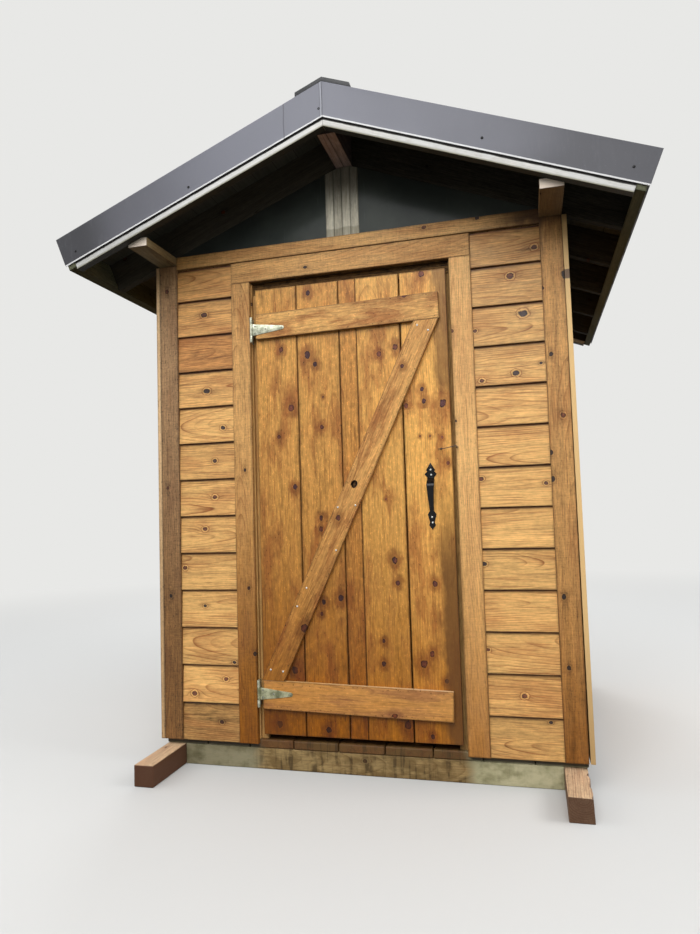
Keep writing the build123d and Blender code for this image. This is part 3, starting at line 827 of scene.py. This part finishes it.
def dress(nodes, material, tones=(0.0,), rusts=(0.0,), edge=0.0015, knots=(), density=1.5, along=None,
          change=None, hollow_out=None, hole=None, look_of=None):
    """Boards of frame nodes with eased edges, in wood that follows each one.

    Tones and rusts go from left to right. A change comes before the edges are eased, and a hole after.
    """
    for node in nodes.split():
        timber = Timber(f"{node}_timber")
        for index, board in enumerate(sorted(solids_of(node), key=middle_of)):
            tone = tones[index % len(tones)]
            rust = rusts[index % len(rusts)]
            if look_of:
                tone, rust = look_of(board)
            if change:
                change(board)
            ease_edges(board, edge)
            if hollow_out:
                board = hollow_out(board)
            bmesh.ops.dissolve_degenerate(board, dist=weld, edges=board.edges)
            timber.add(board, tone, rust, knots, density, along, hole=hole)
        stand_for(timber.finish(material), node)


def coat(nodes, material):
    """Give frame nodes a material in place of their own."""
    for node in nodes.split():
        materials = frame["nodes"][node].data.materials
        materials.clear()
        materials.append(material)


def smooth(piece, angle=40):
    """Round shading, with edges sharper than the angle kept."""
    piece.data.shade_smooth()
    piece.data.set_sharp_from_angle(angle=math.radians(angle))
    return piece


def dress_metal(nodes, material, edge=0.0):
    """Frame nodes with smooth shading, in metal, and with rounded edges where a width is given."""
    for node in nodes.split():
        solids = solids_of(node)
        if edge:
            for solid in solids:
                ease_edges(solid, edge, sharper_than=30)
        stand_for(smooth(joined(f"{node}_metal", solids, material)), node)


def turned(centre, out, profile, around=14):
    """Mesh turned round an axis through a centre: a profile of radius and height pairs, with closed ends."""
    out = out.normalized()
    across = out.orthogonal().normalized()
    beside = out.cross(across)
    rings = []
    for radius, height in profile:
        ring = []
        for index in range(around):
            angle = 2 * math.pi * index / around
            sideways = across * radius * math.cos(angle) + beside * radius * math.sin(angle)
            ring.append(centre + out * height + sideways)
        rings.append(ring)
    return loft(rings)


def pan_screw(centre, out, radius=0.0042, height=0.0022):
    """Domed screw head with a round recess."""
    return turned(centre, out, [
        (radius, -0.0004), (radius, height * 0.35), (radius * 0.8, height * 0.8), (radius * 0.42, height),
        (radius * 0.36, height), (radius * 0.3, height * 0.2),
    ])


def roofing_screw(centre, out):
    """Hexagonal screw head on a round washer."""
    washer = [(0.007, 0.0), (0.007, 0.0012), (0.0058, 0.0022)]
    head = [(0.0042, 0.0018), (0.0042, 0.0055), (0.0036, 0.0062)]
    return [turned(centre, out, washer, 12), turned(centre, out, head, 6)]


# Materials

siding_wood = wood("siding_wood", (228, 178, 108), (136, 80, 38), (78, 62, 58), ring=0.008, stain=0.45,
                   dashes=0.45, collar=0.8, lap_shadow_and_dirt=0.015, rough=0.48)
trim_wood = wood("trim_wood", (216, 166, 100), (126, 76, 36), (70, 54, 48), ring=0.007, contrast=0.35,
                 stain=0.45, foot_damp_and_shade=1.0, saw=0.8, collar=0.3, edge_dirt_and_shade=0.4, rough=0.55, after=shaded_and_stained_ends)
worn_trim = wood("worn_trim", (176, 140, 98), (92, 62, 38), (58, 46, 42), ring=0.007, contrast=0.4,
                 stain=0.5, foot_damp_and_shade=0.7, saw=1.2, collar=0.2, edge_dirt_and_shade=0.45, warm=0.15, rough=0.6)
jamb_wood = wood("jamb_wood", (192, 150, 92), (120, 84, 48), (74, 52, 40), ring=0.006, contrast=0.4,
                 rough=0.6, gloss=0.1)
door_wood = wood("door_wood", (214, 160, 84), (128, 74, 32), (80, 52, 56), ring=0.009, contrast=0.25,
                 stain=0.45, blotch=0.5, foot_damp_and_shade=1.0, specks_and_glints=1.0, glow=0.6, collar=0.08, edge_dirt_and_shade=0.5, rough=0.38,
                 gloss=0.25, after=worn_latch_side)
batten_wood = wood("batten_wood", (214, 164, 96), (128, 76, 36), (80, 54, 58), ring=0.008, contrast=0.3,
                   stain=0.45, blotch=0.5, foot_damp_and_shade=0.9, pits=0.6, specks_and_glints=0.9, glow=0.5, collar=0.08, edge_dirt_and_shade=0.5,
                   top_highlight_and_wear=0.6, rough=0.45, gloss=0.22)
# Frame wood is kept dark: painted shade of the soffit, partly aged wood
frame_wood = wood("frame_wood", (84, 80, 70), (46, 42, 36), (32, 28, 22), ring=0.005, warm=0.0, rough=0.8,
                  gloss=0.06)
beam_wood = wood("beam_wood", (160, 142, 136), (112, 94, 88), (70, 50, 40), ring=0.006, contrast=0.4,
                 warm=0.1, under=1.0, rough=0.8, gloss=0.06, after=shaded_sides)
plate_wood = wood("plate_wood", (164, 148, 110), (110, 90, 54), (50, 40, 30), ring=0.005, contrast=0.4,
                  warm=0.15, edge_dirt_and_shade=0.2, end_shade=1.0, rough=0.7, gloss=0.15, after=pale_lit_ends)
post_wood = wood("post_wood", (216, 210, 190), (150, 142, 120), (80, 70, 58), ring=0.004, contrast=0.45,
                 warm=0.05, rough=0.7, gloss=0.15, after=post_shade_and_foot_band)
barge_wood = wood("barge_wood", (206, 204, 198), (156, 150, 138), (110, 96, 74), ring=0.005, contrast=0.3,
                  warm=0.1, under=0.05, rough=0.65, gloss=0.2, after=chalky)
fascia_wood = wood("fascia_wood", (120, 121, 97), (82, 83, 63), (40, 34, 26), warm=0.05, rough=0.8,
                   gloss=0.06)
rim_wood = wood("rim_wood", (158, 132, 86), (108, 82, 46), (60, 44, 26), ring=0.006, warm=0.1, rough=0.7,
                after=shaded_base)
skid_wood = wood("skid_wood", (190, 162, 128), (120, 84, 60), (60, 38, 30), ring=0.008, contrast=0.6,
                 saw=0.6, rough=0.7, after=muddy_shaded_sides)
plank_wood = wood("plank_wood", (102, 70, 36), (60, 38, 18), (46, 30, 20), ring=0.005, saw=0.3,
                  end_shade=1.0, rough=0.6, after=shaded_base)
lining_wood = plain_wood("lining_wood", (196, 164, 116), (158, 122, 78), 2)
# The deck's boards are kept dark: painted shade of the soffit, partly aged wood
deck_board = plain_wood("deck_board", (78, 78, 71), (69, 69, 62), 1)
sheet_metal = painted_sheet("sheet_metal", (110, 111, 121), (86, 87, 94))
rake_metal = painted_sheet("rake_metal", (112, 113, 122), (80, 80, 86), hem=0.010)
cap_metal = painted_sheet("cap_metal", (38, 39, 41), (26, 27, 29))
zinc = metal("zinc", (212, 214, 192), (140, 144, 122), 0.5, 0.34, 60, 0.00025, fine=0.3)
mossy_zinc = metal("mossy_zinc", (200, 199, 164), (112, 114, 84), 0.5, 0.3, 26, 0.0002, fine=0.3)
strap_screw = metal("strap_screw", (170, 170, 156), (96, 96, 84), 0.5, 0.35, 300, 0.00005)
dark_steel = metal("dark_steel", (22, 18, 18), (8, 7, 7), 0.0, 0.26, 300, 0.0001)
black_iron = metal("black_iron", (12, 12, 13), (5, 5, 6), 0.0, 0.2, 140, 0.00035, fine=0.2, gloss=0.25)
bright_steel = metal("bright_steel", (236, 236, 230), (200, 198, 190), 0.5, 0.25, 300, 0.00005)
screw_dark = metal("screw_dark", (20, 20, 22), (10, 10, 12), 0.0, 0.4, 300, 0.00005, gloss=0.2)
pane_glass = dark_glass()

# Knots that the photo shows: pixel across, pixel down, radius in millimetres
siding_knots = [
    (204, 315, 11), (207, 391, 12), (223, 428, 9), (215, 461, 9), (215, 497, 10), (205, 529, 10),
    (185, 568, 9), (205, 606, 7), (235, 662, 7), (226, 679, 9), (195, 693, 11), (222, 722, 8),
    (534, 247, 10), (510, 276, 12), (523, 313, 14), (475, 331, 7), (516, 373, 11), (482, 381, 9),
    (541, 363, 6), (481, 479, 9), (546, 483, 7), (484, 564, 9), (488, 650, 7), (525, 696, 10), (551, 723, 6),
]
trim_knots = [
    (171, 596, 8), (168, 488, 7), (245, 470, 7), (249, 588, 7), (255, 654, 9), (452, 331, 7), (456, 421, 5),
    (542, 288, 8), (565, 274, 16), (551, 354, 8), (563, 415, 9), (553, 479, 9), (564, 597, 9), (569, 668, 8),
    (424, 227, 8), (477, 218, 7), (255, 244, 6), (305, 267, 7),
]
door_knots = [
    (281, 350, 10), (291, 408, 13), (279, 437, 8), (295, 487, 10), (308, 293, 10), (307, 355, 13),
    (315, 364, 9), (322, 427, 9), (321, 518, 9), (321, 529, 9), (323, 397, 4), (379, 354, 9),
    (395, 347, 11), (386, 499, 4), (406, 406, 9), (421, 274, 11), (422, 389, 8), (424, 401, 9),
    (443, 403, 15), (420, 436, 4), (430, 436, 4), (442, 437, 5), (448, 463, 7), (435, 584, 10),
    (432, 654, 10), (424, 664, 14), (447, 681, 8), (408, 725, 14), (433, 737, 8), (395, 560, 12),
    (398, 583, 9), (384, 641, 7), (384, 664, 9), (324, 602, 9), (322, 614, 7), (341, 598, 12),
    (295, 670, 13), (280, 724, 12), (329, 730, 11),
]
batten_knots = [(404, 295, 10), (402, 366, 8), (338, 518, 10), (304, 628, 14), (395, 716, 9)]


def knots_on(seen, depth):
    """Knots of a list as points on the upright plane at this depth."""
    return [(seen_at((across, down), depth), radius / 1000) for across, down, radius in seen]


# Lap siding, as single boards that lean out to a thick butt
station_spacing = 0.07
end_gaps = (0.0004, 0.0016)
board_rounding = 0.0013
board_back = 0.0004
foot_gap = 0.0007
ragged_foot = 0.0006
face_sunk = 0.0003
bowed_face = 0.0005
tip_gap = 0.0002


def siding_board(facing, base, left, right_end, lower, upper, pick):
    """One bevelled board of a course, with a slightly uneven lower edge."""
    along = z_axis.cross(facing)
    start = left + pick.uniform(*end_gaps)
    stop = right_end - pick.uniform(*end_gaps)
    count = max(2, round((stop - start) / station_spacing))
    offset = pick.uniform(0, 100)
    rings = []
    for index in range(count + 1):
        length = start + (stop - start) * index / count
        ragged = noise.noise(Vector((length * 5, offset, 0)))
        bowed = noise.noise(Vector((length * 2, 0, offset)))
        foot = lower + foot_gap + ragged_foot * ragged
        front = butt - face_sunk + bowed_face * bowed
        section = [(board_back, foot), (front - board_rounding, foot)]
        section.append((front - board_rounding * 0.3, foot + board_rounding * 0.3))
        section.append((front, foot + board_rounding))
        section += [(thin_edge, upper - tip_gap), (board_back, upper - tip_gap)]
        rings.append([along * length + facing * (base + out) + Vector((0, 0, z)) for out, z in section])
    return loft(rings)


# Tone and rust of boards of the front that differ from the rest, by panel and course from the foot; the top
# courses' darker tones are partly painted shade under the eaves
marked_courses = {
    (0, 0): (-0.42, 0.3), (0, 1): (0.2, 0.0), (0, 2): (-0.04, 0.0), (0, 3): (0.06, 0.0),
    (0, 7): (-0.04, 0.1), (0, 9): (-0.08, 0.2), (0, 10): (-0.33, 1.0), (0, 11): (-0.08, 0.4),
    (0, 12): (-0.18, 0.4), (1, 0): (-0.12, 0.1), (1, 1): (-0.04, 0.2), (1, 3): (0.06, 0.1),
    (1, 5): (0.04, 0.0), (1, 9): (-0.06, 0.0), (1, 10): (-0.08, 0.0), (1, 11): (-0.2, 0.15),
    (1, 12): (-0.22, 0.25),
}
for side, facing in (("front", -y_axis), ("back", y_axis), ("left", -x_axis), ("right", x_axis)):
    node = f"{side}_siding"
    is_front = side == "front"
    timber = Timber(f"{node}_boards")
    seen = knots_on(siding_knots, trim_face + siding_behind_trim) if is_front else ()
    density = 0.0 if is_front else 1.6
    along = z_axis.cross(facing)
    for index, panel in enumerate(sorted(solids_of(node), key=lambda panel: span(panel, along))):
        left, right_end = span(panel, along)
        base = span(panel, facing)[0]
        foot, top = span(panel, z_axis)
        for course in range(course_count):
            pick = random.Random(f"{node} {index} {course}")
            lower = foot + course * exposure
            upper = top if course == course_count - 1 else lower + exposure
            board = siding_board(facing, base, left, right_end, lower, upper, pick)
            if is_front:
                marked, rust = marked_courses.get((index, course), (0.0, 0.0))
                tone = pick.uniform(-0.04, 0.04) + marked
            else:
                tone = pick.uniform(-0.14, 0.06)
                rust = pick.uniform(0.0, 0.5)
            timber.add(board, tone, rust, seen, density, along, facing)
        panel.free()
    stand_for(timber.finish(siding_wood), node)

# Trim boards

seen_trim = knots_on(trim_knots, trim_face)
close_by = 0.001
board_sprung = 0.0045
head_width = 0.5
stop_width = 0.03
joint_gap = 0.0035


def lean_out(board):
    """The right corner's side board has sprung away at its foot."""
    if span(board, x_axis)[1] < right_corner_side - close_by:
        return
    foot, top = span(board, z_axis)
    for vert in board.verts:
        vert.co.x += board_sprung * ((top - vert.co.z) / (top - foot)) ** 2


def lift_foot(board):
    """Open joint below a board."""
    foot = span(board, z_axis)[0]
    for vert in board.verts:
        if vert.co.z < foot + weld:
            vert.co.z += joint_gap


def corner_looks(front, side):
    """Tone and rust for a corner's front board and for its narrow side board."""
    return lambda board: front if width_of(board) > board_thickness * 2 else side


def jamb_look(board):
    """The head and the latch side lie in shade, and the hinge side is lit."""
    if width_of(board) > head_width:
        return -0.8, 0.3
    if middle_of(board) > 0:
        return -0.42, 0.0
    return (0.1, 0.0) if width_of(board) > stop_width else (-0.45, 0.0)


def casing_look(board):
    """The head of the casing is darker than its legs, and the left leg than the right."""
    if width_of(board) > head_width:
        return -0.1, 0.1
    return (-0.07, 0.1) if middle_of(board) < 0 else (0.2, -0.06)


dress("frieze_front", trim_wood, tones=(-0.1,), knots=seen_trim, density=0.0, change=lift_foot)
dress("frieze_back", trim_wood, tones=(-0.1,), density=1.2)
dress("corner_boards_back_left corner_boards_back_right", trim_wood, density=1.2,
      look_of=corner_looks((-0.1, 0.1), (0.0, 0.0)))
dress("door_jambs", jamb_wood, density=0.8, look_of=jamb_look)
dress("corner_boards_front_left", worn_trim, knots=seen_trim, density=0.3,
      look_of=corner_looks((-0.2, 0.2), (0.5, -0.2)))
dress("corner_boards_front_right", trim_wood, knots=seen_trim, density=0.3,
      look_of=corner_looks((-0.18, 0.3), (0.05, 0.0)), change=lean_out)
dress("door_casing", trim_wood, knots=seen_trim, density=0.0, look_of=casing_look)

# Frame, roof edges and base

dress("top_plate_left", plate_wood, edge=0.002)
dress("top_plate_right", plate_wood, rusts=(1.0,), edge=0.002)
# The left rafters' lighter tones and the right ones' darker tones are painted light and shade
dress("rafters_left", frame_wood, tones=(0.3, 0.15, 0.35), edge=0.002)
dress("rafters_right", frame_wood, tones=(-0.35, -0.45, -0.3), edge=0.002)
dress("ridge_beam", beam_wood, tones=(0.0, -0.15), edge=0.002)
dress("king_post_front king_post_back", post_wood, tones=(0.0, -0.12, 0.06, -0.05), density=0.5,
      along=z_axis)
dress("barge_boards_front barge_boards_back", barge_wood, tones=(0.0, 0.03), edge=0.002)
dress("fascia_left fascia_right", fascia_wood, edge=0.002)
dress("rim_front rim_back floor_joist", rim_wood, edge=0.003)
coat("left_wall right_wall back_wall front_wall_left front_wall_right front_wall_header", lining_wood)
coat("roof_deck", deck_board)
coat("gable_panes_front gable_panes_back", pane_glass)

# Skids, the right one with its chipped edge, and the floor
chip_stations = 16
chip_length = 0.26
chip_width = 0.009
chip_in = 0.007
chip_down = 0.010


def chip_edge(board):
    """Split wood off the upper outer edge of a skid's front end."""
    outer = span(board, x_axis)[1]
    top = span(board, z_axis)[1]
    front = span(board, y_axis)[0]
    for station in range(1, chip_stations):
        slice_board(board, y_axis * (front + chip_length * station / chip_stations), y_axis)
    slice_board(board, x_axis * (outer - chip_width), x_axis)
    for vert in board.verts:
        at_edge = vert.co.x > outer - close_by and vert.co.z > top - close_by
        if at_edge and vert.co.y < front + chip_length:
            depth = max(0.0, noise.noise(Vector((vert.co.y * 34, 3.7, 0))) + 0.15)
            vert.co.x -= chip_in * min(depth, 1.0)
            vert.co.z -= chip_down * min(depth, 1.0)


dress("skid_left", skid_wood, rusts=(0.1,), edge=0.004)
dress("skid_right", skid_wood, tones=(-0.14,), edge=0.002, change=chip_edge)
dress("floor_planks", plank_wood, tones=(0.0, -0.12, 0.08, -0.05, 0.1), edge=0.006, along=y_axis)

# Door leaf, with the hole that a fallen knot left in the brace

seen_door = knots_on(door_knots, door_face)
seen_batten = knots_on(batten_knots, batten_face)
knothole_pixel = (354.1, 483.9)
knothole_half_width = 0.0135
knothole_half_height = 0.0165
knothole_mouth = seen_at(knothole_pixel, batten_face)
knothole_depth = door_face - batten_face
knothole_reach = (knothole_mouth, knothole_half_height * 1.3, knothole_depth * 0.95)


def carve(board, cutter):
    """The board with a closed shape cut out of it."""
    carved = add_object("carved", mesh_of(board, "carved"))
    tool = add_object("cutter", mesh_of(cutter, "cutter"))
    cut = carved.modifiers.new("cut", "BOOLEAN")
    cut.object = tool
    cut.solver = "EXACT"
    result = bmesh.new()
    result.from_object(carved, bpy.context.evaluated_depsgraph_get())
    for each in (carved, tool):
        mesh = each.data
        bpy.data.objects.remove(each)
        bpy.data.meshes.remove(mesh)
    return result


def open_knothole(board):
    """Uneven oval hole into the brace, painted dark inside as shade, and a little wider at its mouth."""
    points = 20
    rings = []
    for share, size in ((-0.2, 1.08), (0.0, 1.06), (0.12, 1.0), (0.6, 0.94), (0.9, 0.9)):
        ring = []
        for step in range(points):
            angle = 2 * math.pi * step / points
            uneven = 1 + 0.08 * math.sin(2 * angle + 0.6) + 0.05 * math.sin(3 * angle)
            x = knothole_half_width * size * uneven * math.cos(angle)
            z = knothole_half_height * size * uneven * math.sin(angle)
            ring.append(knothole_mouth + Vector((x, knothole_depth * share, z)))
        rings.append(ring)
    return carve(board, loft(rings))


dress("door_boards", door_wood, tones=(-0.06, -0.05, -0.12, 0.12, 0.3), rusts=(0.2, 0.25, 0.6, 0.0, 0.0),
      knots=seen_door, density=0.0)
dress("door_batten_top", batten_wood, tones=(0.02,), knots=seen_batten, density=0.0, edge=0.002)
dress("door_batten_bottom", batten_wood, tones=(0.5,), rusts=(-0.06,), knots=seen_batten, density=0.0,
      edge=0.002)
dress("door_brace", batten_wood, tones=(-0.02,), rusts=(0.25,), knots=seen_batten, density=0.0,
      hollow_out=open_knothole, hole=knothole_reach)

# Screws and door fittings

brace_screws = [(306.5, 588), (297.3, 606.3), (336.1, 550.2), (270.8, 669.6), (283.1, 671.6), (355.5, 505.3),
                (337.8, 507.3), (428, 330), (417, 325)]
pull_screws = [(430.5, 469.7), (431.2, 474.9), (432.1, 517), (432.7, 522.5)]
pull_plate = 0.003
strap_plate = 0.0025
leaf_plate = 0.002
from_plate_end = 0.012
strap_screw_places = [(0.012, 0.016), (0.012, -0.016), (0.062, 0.0), (0.138, 0.0)]
leaf_screw_rises = (-0.042, 0.0, 0.042)


def place_fitting(name, parts, material, body):
    """Small joined pieces that ride on a body."""
    piece = smooth(joined(name, parts, material))
    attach(piece, body)


def place_screws(name, places, out, material, body="door", slot="zinc", **size):
    """Pan screws at some points, all facing one way."""
    place_fitting(name, [pan_screw(place, out, **size) for place in places], material, body)


places = [seen_at(pixel, batten_face) for pixel in brace_screws]
place_screws("brace_screws", places, front_way, bright_steel)
places = [seen_at(pixel, door_face - pull_plate) for pixel in pull_screws]
place_screws("pull_screws", places, front_way, bright_steel, radius=0.0036, height=0.0016)
dress_metal("door_pull", black_iron, edge=0.0007)
dress_metal("hook door_eye casing_eye", dark_steel)
for level, strap_metal in (("top", zinc), ("bottom", mossy_zinc)):
    dress_metal(f"hinge_strap_{level}", strap_metal, edge=0.0005)
    dress_metal(f"hinge_leaf_{level}", zinc, edge=0.0004)
    low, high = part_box(f"hinge_strap_{level}")
    middle = (low.z + high.z) / 2
    start = low.x + from_plate_end
    face = batten_face - strap_plate
    places = [Vector((start + along, face, middle + rise)) for along, rise in strap_screw_places]
    place_screws(f"strap_screws_{level}", places, front_way, strap_screw, radius=0.0044, height=0.0012)
    low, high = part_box(f"hinge_leaf_{level}")
    places = [
        Vector((low.x + leaf_plate, high.y - from_plate_end, middle + rise)) for rise in leaf_screw_rises
    ]
    place_screws(f"leaf_screws_{level}", places, x_axis, strap_screw, "root", radius=0.004, height=0.001)

# Roof metal: the rake trim's folded section, and the laps and seams between its lengths
rake_face = rake_end - 0.0017
rake_kick = rake_end - 0.0013
rake_fold = 0.0022
rake_bulge = 0.0004
hem_height = 0.0095
rake_wave = 0.0003
wave_depth = 0.006
wave_low = rake_bottom + 0.012
wave_high = rake_top - 0.004
lap_reach = 0.03
lap_lift = 0.0006
ridge_gap = 0.0003
past_eaves = 9.0
rake_stations = 26
rake_screws = [(75.7, 251.2), (188.4, 187.1), (318.6, 108.6), (482, 137.8), (634, 166.6)]
screw_beside_rib = 0.044
screw_rows = (0.2, 0.55, 0.9, 1.2)


def slope_point(side, across, along, above):
    """Point of a slope, by Y, the distance down from the ridge and the height above the rafters."""
    x = along * math.cos(pitch) + above * math.sin(pitch)
    z = rafter_peak - along * math.sin(pitch) + above * math.cos(pitch)
    return Vector((side * x, across, z))


def rake_section():
    """Folded rake trim in section: distances out from the roof's middle, and heights over the rafters."""
    top = rake_top - rake_sheet / 2
    points = [(flange_edge, top), (rake_face - rake_fold, top)]
    for angle in (60, 30, 0):
        rise = math.sin(math.radians(angle))
        reach = math.cos(math.radians(angle))
        points.append((rake_face - rake_fold + rake_fold * reach, top - rake_fold + rake_fold * rise))
    for share in (0.035, 0.25, 0.5, 0.75, 0.91):
        bulge = rake_bulge * math.sin(math.pi * share)
        points.append((rake_face - bulge, rake_top + (rake_bottom - rake_top) * share))
    points.append((rake_face, rake_bottom + hem_height))
    for back, above in ((0.0, 0.0035), (0.0, 0.0012), (0.0009, 0.0004), (0.0018, 0.0012)):
        points.append((rake_kick - back, rake_bottom + above))
    return points


def rake_length(end, side, near, far, lift, seed):
    """One length of trim from a plumb cut to a far cut, plumb or square, lifted off the one below."""
    section = rake_section()
    made = bmesh.new()
    rows = []
    for station in range(rake_stations + 1):
        row = []
        for out, above in section:
            square_cut = sheet_along * math.cos(pitch) + above * math.sin(pitch)
            x = near + (min(far, square_cut) - near) * station / rake_stations
            on_face = out > rake_end - wave_depth and wave_low < above < wave_high
            wave = rake_wave * noise.noise(Vector((x * 3.1, above * 14, seed))) if on_face else 0.0
            z = rafter_peak + above / math.cos(pitch) - roof_slope * x
            row.append(made.verts.new((side * x, end * (out + lift + wave), z)))
        rows.append(row)
    for near_row, far_row in zip(rows, rows[1:]):
        for index in range(len(section) - 1):
            made.faces.new((near_row[index], near_row[index + 1], far_row[index + 1], far_row[index]))
    bmesh.ops.recalc_face_normals(made, faces=made.faces)
    bmesh.ops.solidify(made, geom=made.faces[:], thickness=rake_sheet)
    bmesh.ops.recalc_face_normals(made, faces=made.faces)
    return made


for end_name, end in (("front", -1), ("back", 1)):
    lengths = [
        rake_length(end, -1, lap_at - lap_reach, past_eaves, 0.0, 1.3),
        rake_length(end, -1, ridge_gap, lap_at, lap_lift, 4.1),
        rake_length(end, 1, ridge_gap, past_eaves, 0.0, 7.7),
        rake_length(end, -1, ridge_gap, seam_reach, lap_lift * 2, 2.2),
    ]
    stand_for(smooth(joined(f"rake_{end_name}_lengths", lengths, rake_metal), 35), f"rake_trim_{end_name}")

heads = []
for pixel in rake_screws:
    place = seen_at(pixel, -rake_face)
    for end in (-1, 1):
        there = Vector((place.x, end * rake_face, place.z))
        heads.append(pan_screw(there, y_axis * end, radius=0.0055, height=0.0014))
place_fitting("rake_screws", heads, screw_dark, "root")

heads = []
for side in (-1, 1):
    out = Vector((side * math.sin(pitch), 0, math.cos(pitch)))
    for rib in range(rib_count):
        across = (rib - rib_count // 2) * rib_spacing + screw_beside_rib
        if abs(across) < flange_edge - 0.01:
            for along in screw_rows:
                heads += roofing_screw(slope_point(side, across, along, sheet_top), out)
place_fitting("roof_screws", heads, screw_dark, "root")
dress_metal("roof_sheet_left roof_sheet_right", sheet_metal)
dress_metal("ridge_cap", cap_metal, edge=0.0006)

# Camera

camera_data = bpy.data.cameras.new("camera")
camera_data.sensor_width = sensor_size
camera_data.lens = sensor_size * photo_focal / photo_height
camera = add_object("camera", camera_data)
camera.matrix_world = Matrix.Translation(eye) @ Matrix((right, up, -look)).transposed().to_4x4()
bpy.context.scene.camera = camera
bpy.context.scene.view_settings.view_transform = "Standard"

# Floor and light: a pale floor that fades into the backdrop, and an even sky that is brighter overhead

backdrop = srgb(232, 232, 230)
floor_size = 60.0
lamp_target = Vector((0, 0, 1.2))


def studio_floor():
    """Pale floor that fades into the backdrop away from the object, and keeps its shadow near it."""
    shader = Shader("studio_floor")
    x, y, _ = shader.place()
    seen = shader.seen_directly()
    shader.colour = shader.mix(seen, srgb(66, 63, 56), srgb(184, 184, 182))
    material = shader.finish(Roughness=0.9)
    near = Value(shader, shader.surface.outputs[0])
    glow = shader.node("ShaderNodeEmission", {"Color": backdrop}, 0)
    shader.end_in("Material Output", ((x * x + y * y) ** 0.5).ramp(2.6, 9.0) * seen, near, glow)
    return material


def light_world():
    """Soft sky, brighter overhead, that the camera sees as the plain backdrop."""
    world = bpy.data.worlds.new("studio")
    bpy.context.scene.world = world
    world.use_nodes = True
    nodes = Nodes(world.node_tree)
    height = nodes.split(nodes.node("ShaderNodeTexCoord", {}, "Generated"))[2]
    inputs = {"Value": height, "From Min": 0.0, "To Min": 0.42, "To Max": 1.1}
    brightness = nodes.node("ShaderNodeMapRange", inputs, 0)
    sky = nodes.node("ShaderNodeBackground", {"Color": srgb(248, 251, 255), "Strength": brightness}, 0)
    seen_sky = nodes.node("ShaderNodeBackground", {"Color": backdrop}, 0)
    nodes.end_in("World Output", nodes.seen_directly(), sky, seen_sky)


def lamp(name, place, size, power):
    """Square soft lamp that points at the cabin."""
    data = bpy.data.lights.new(name, "AREA")
    data.size = size
    data.energy = power
    made = add_object(name, data)
    made.location = place
    made.rotation_euler = (lamp_target - Vector(place)).to_track_quat("-Z", "Y").to_euler()


floor_mesh = bmesh.new()
bmesh.ops.create_grid(floor_mesh, x_segments=8, y_segments=8, size=floor_size / 2)
floor_data = mesh_of(floor_mesh, "studio_floor")
add_object("studio_floor", floor_data, studio_floor())
light_world()
lamp("key", (0.3, -5.4, 6.0), 5.0, 380)
lamp("fill", (-5.5, -2.5, 4.5), 3.5, 90)
lamp("back", (-1.5, 6.0, 6.0), 3.5, 300)
lamp("side", (6.0, -0.8, 5.0), 3.0, 260)
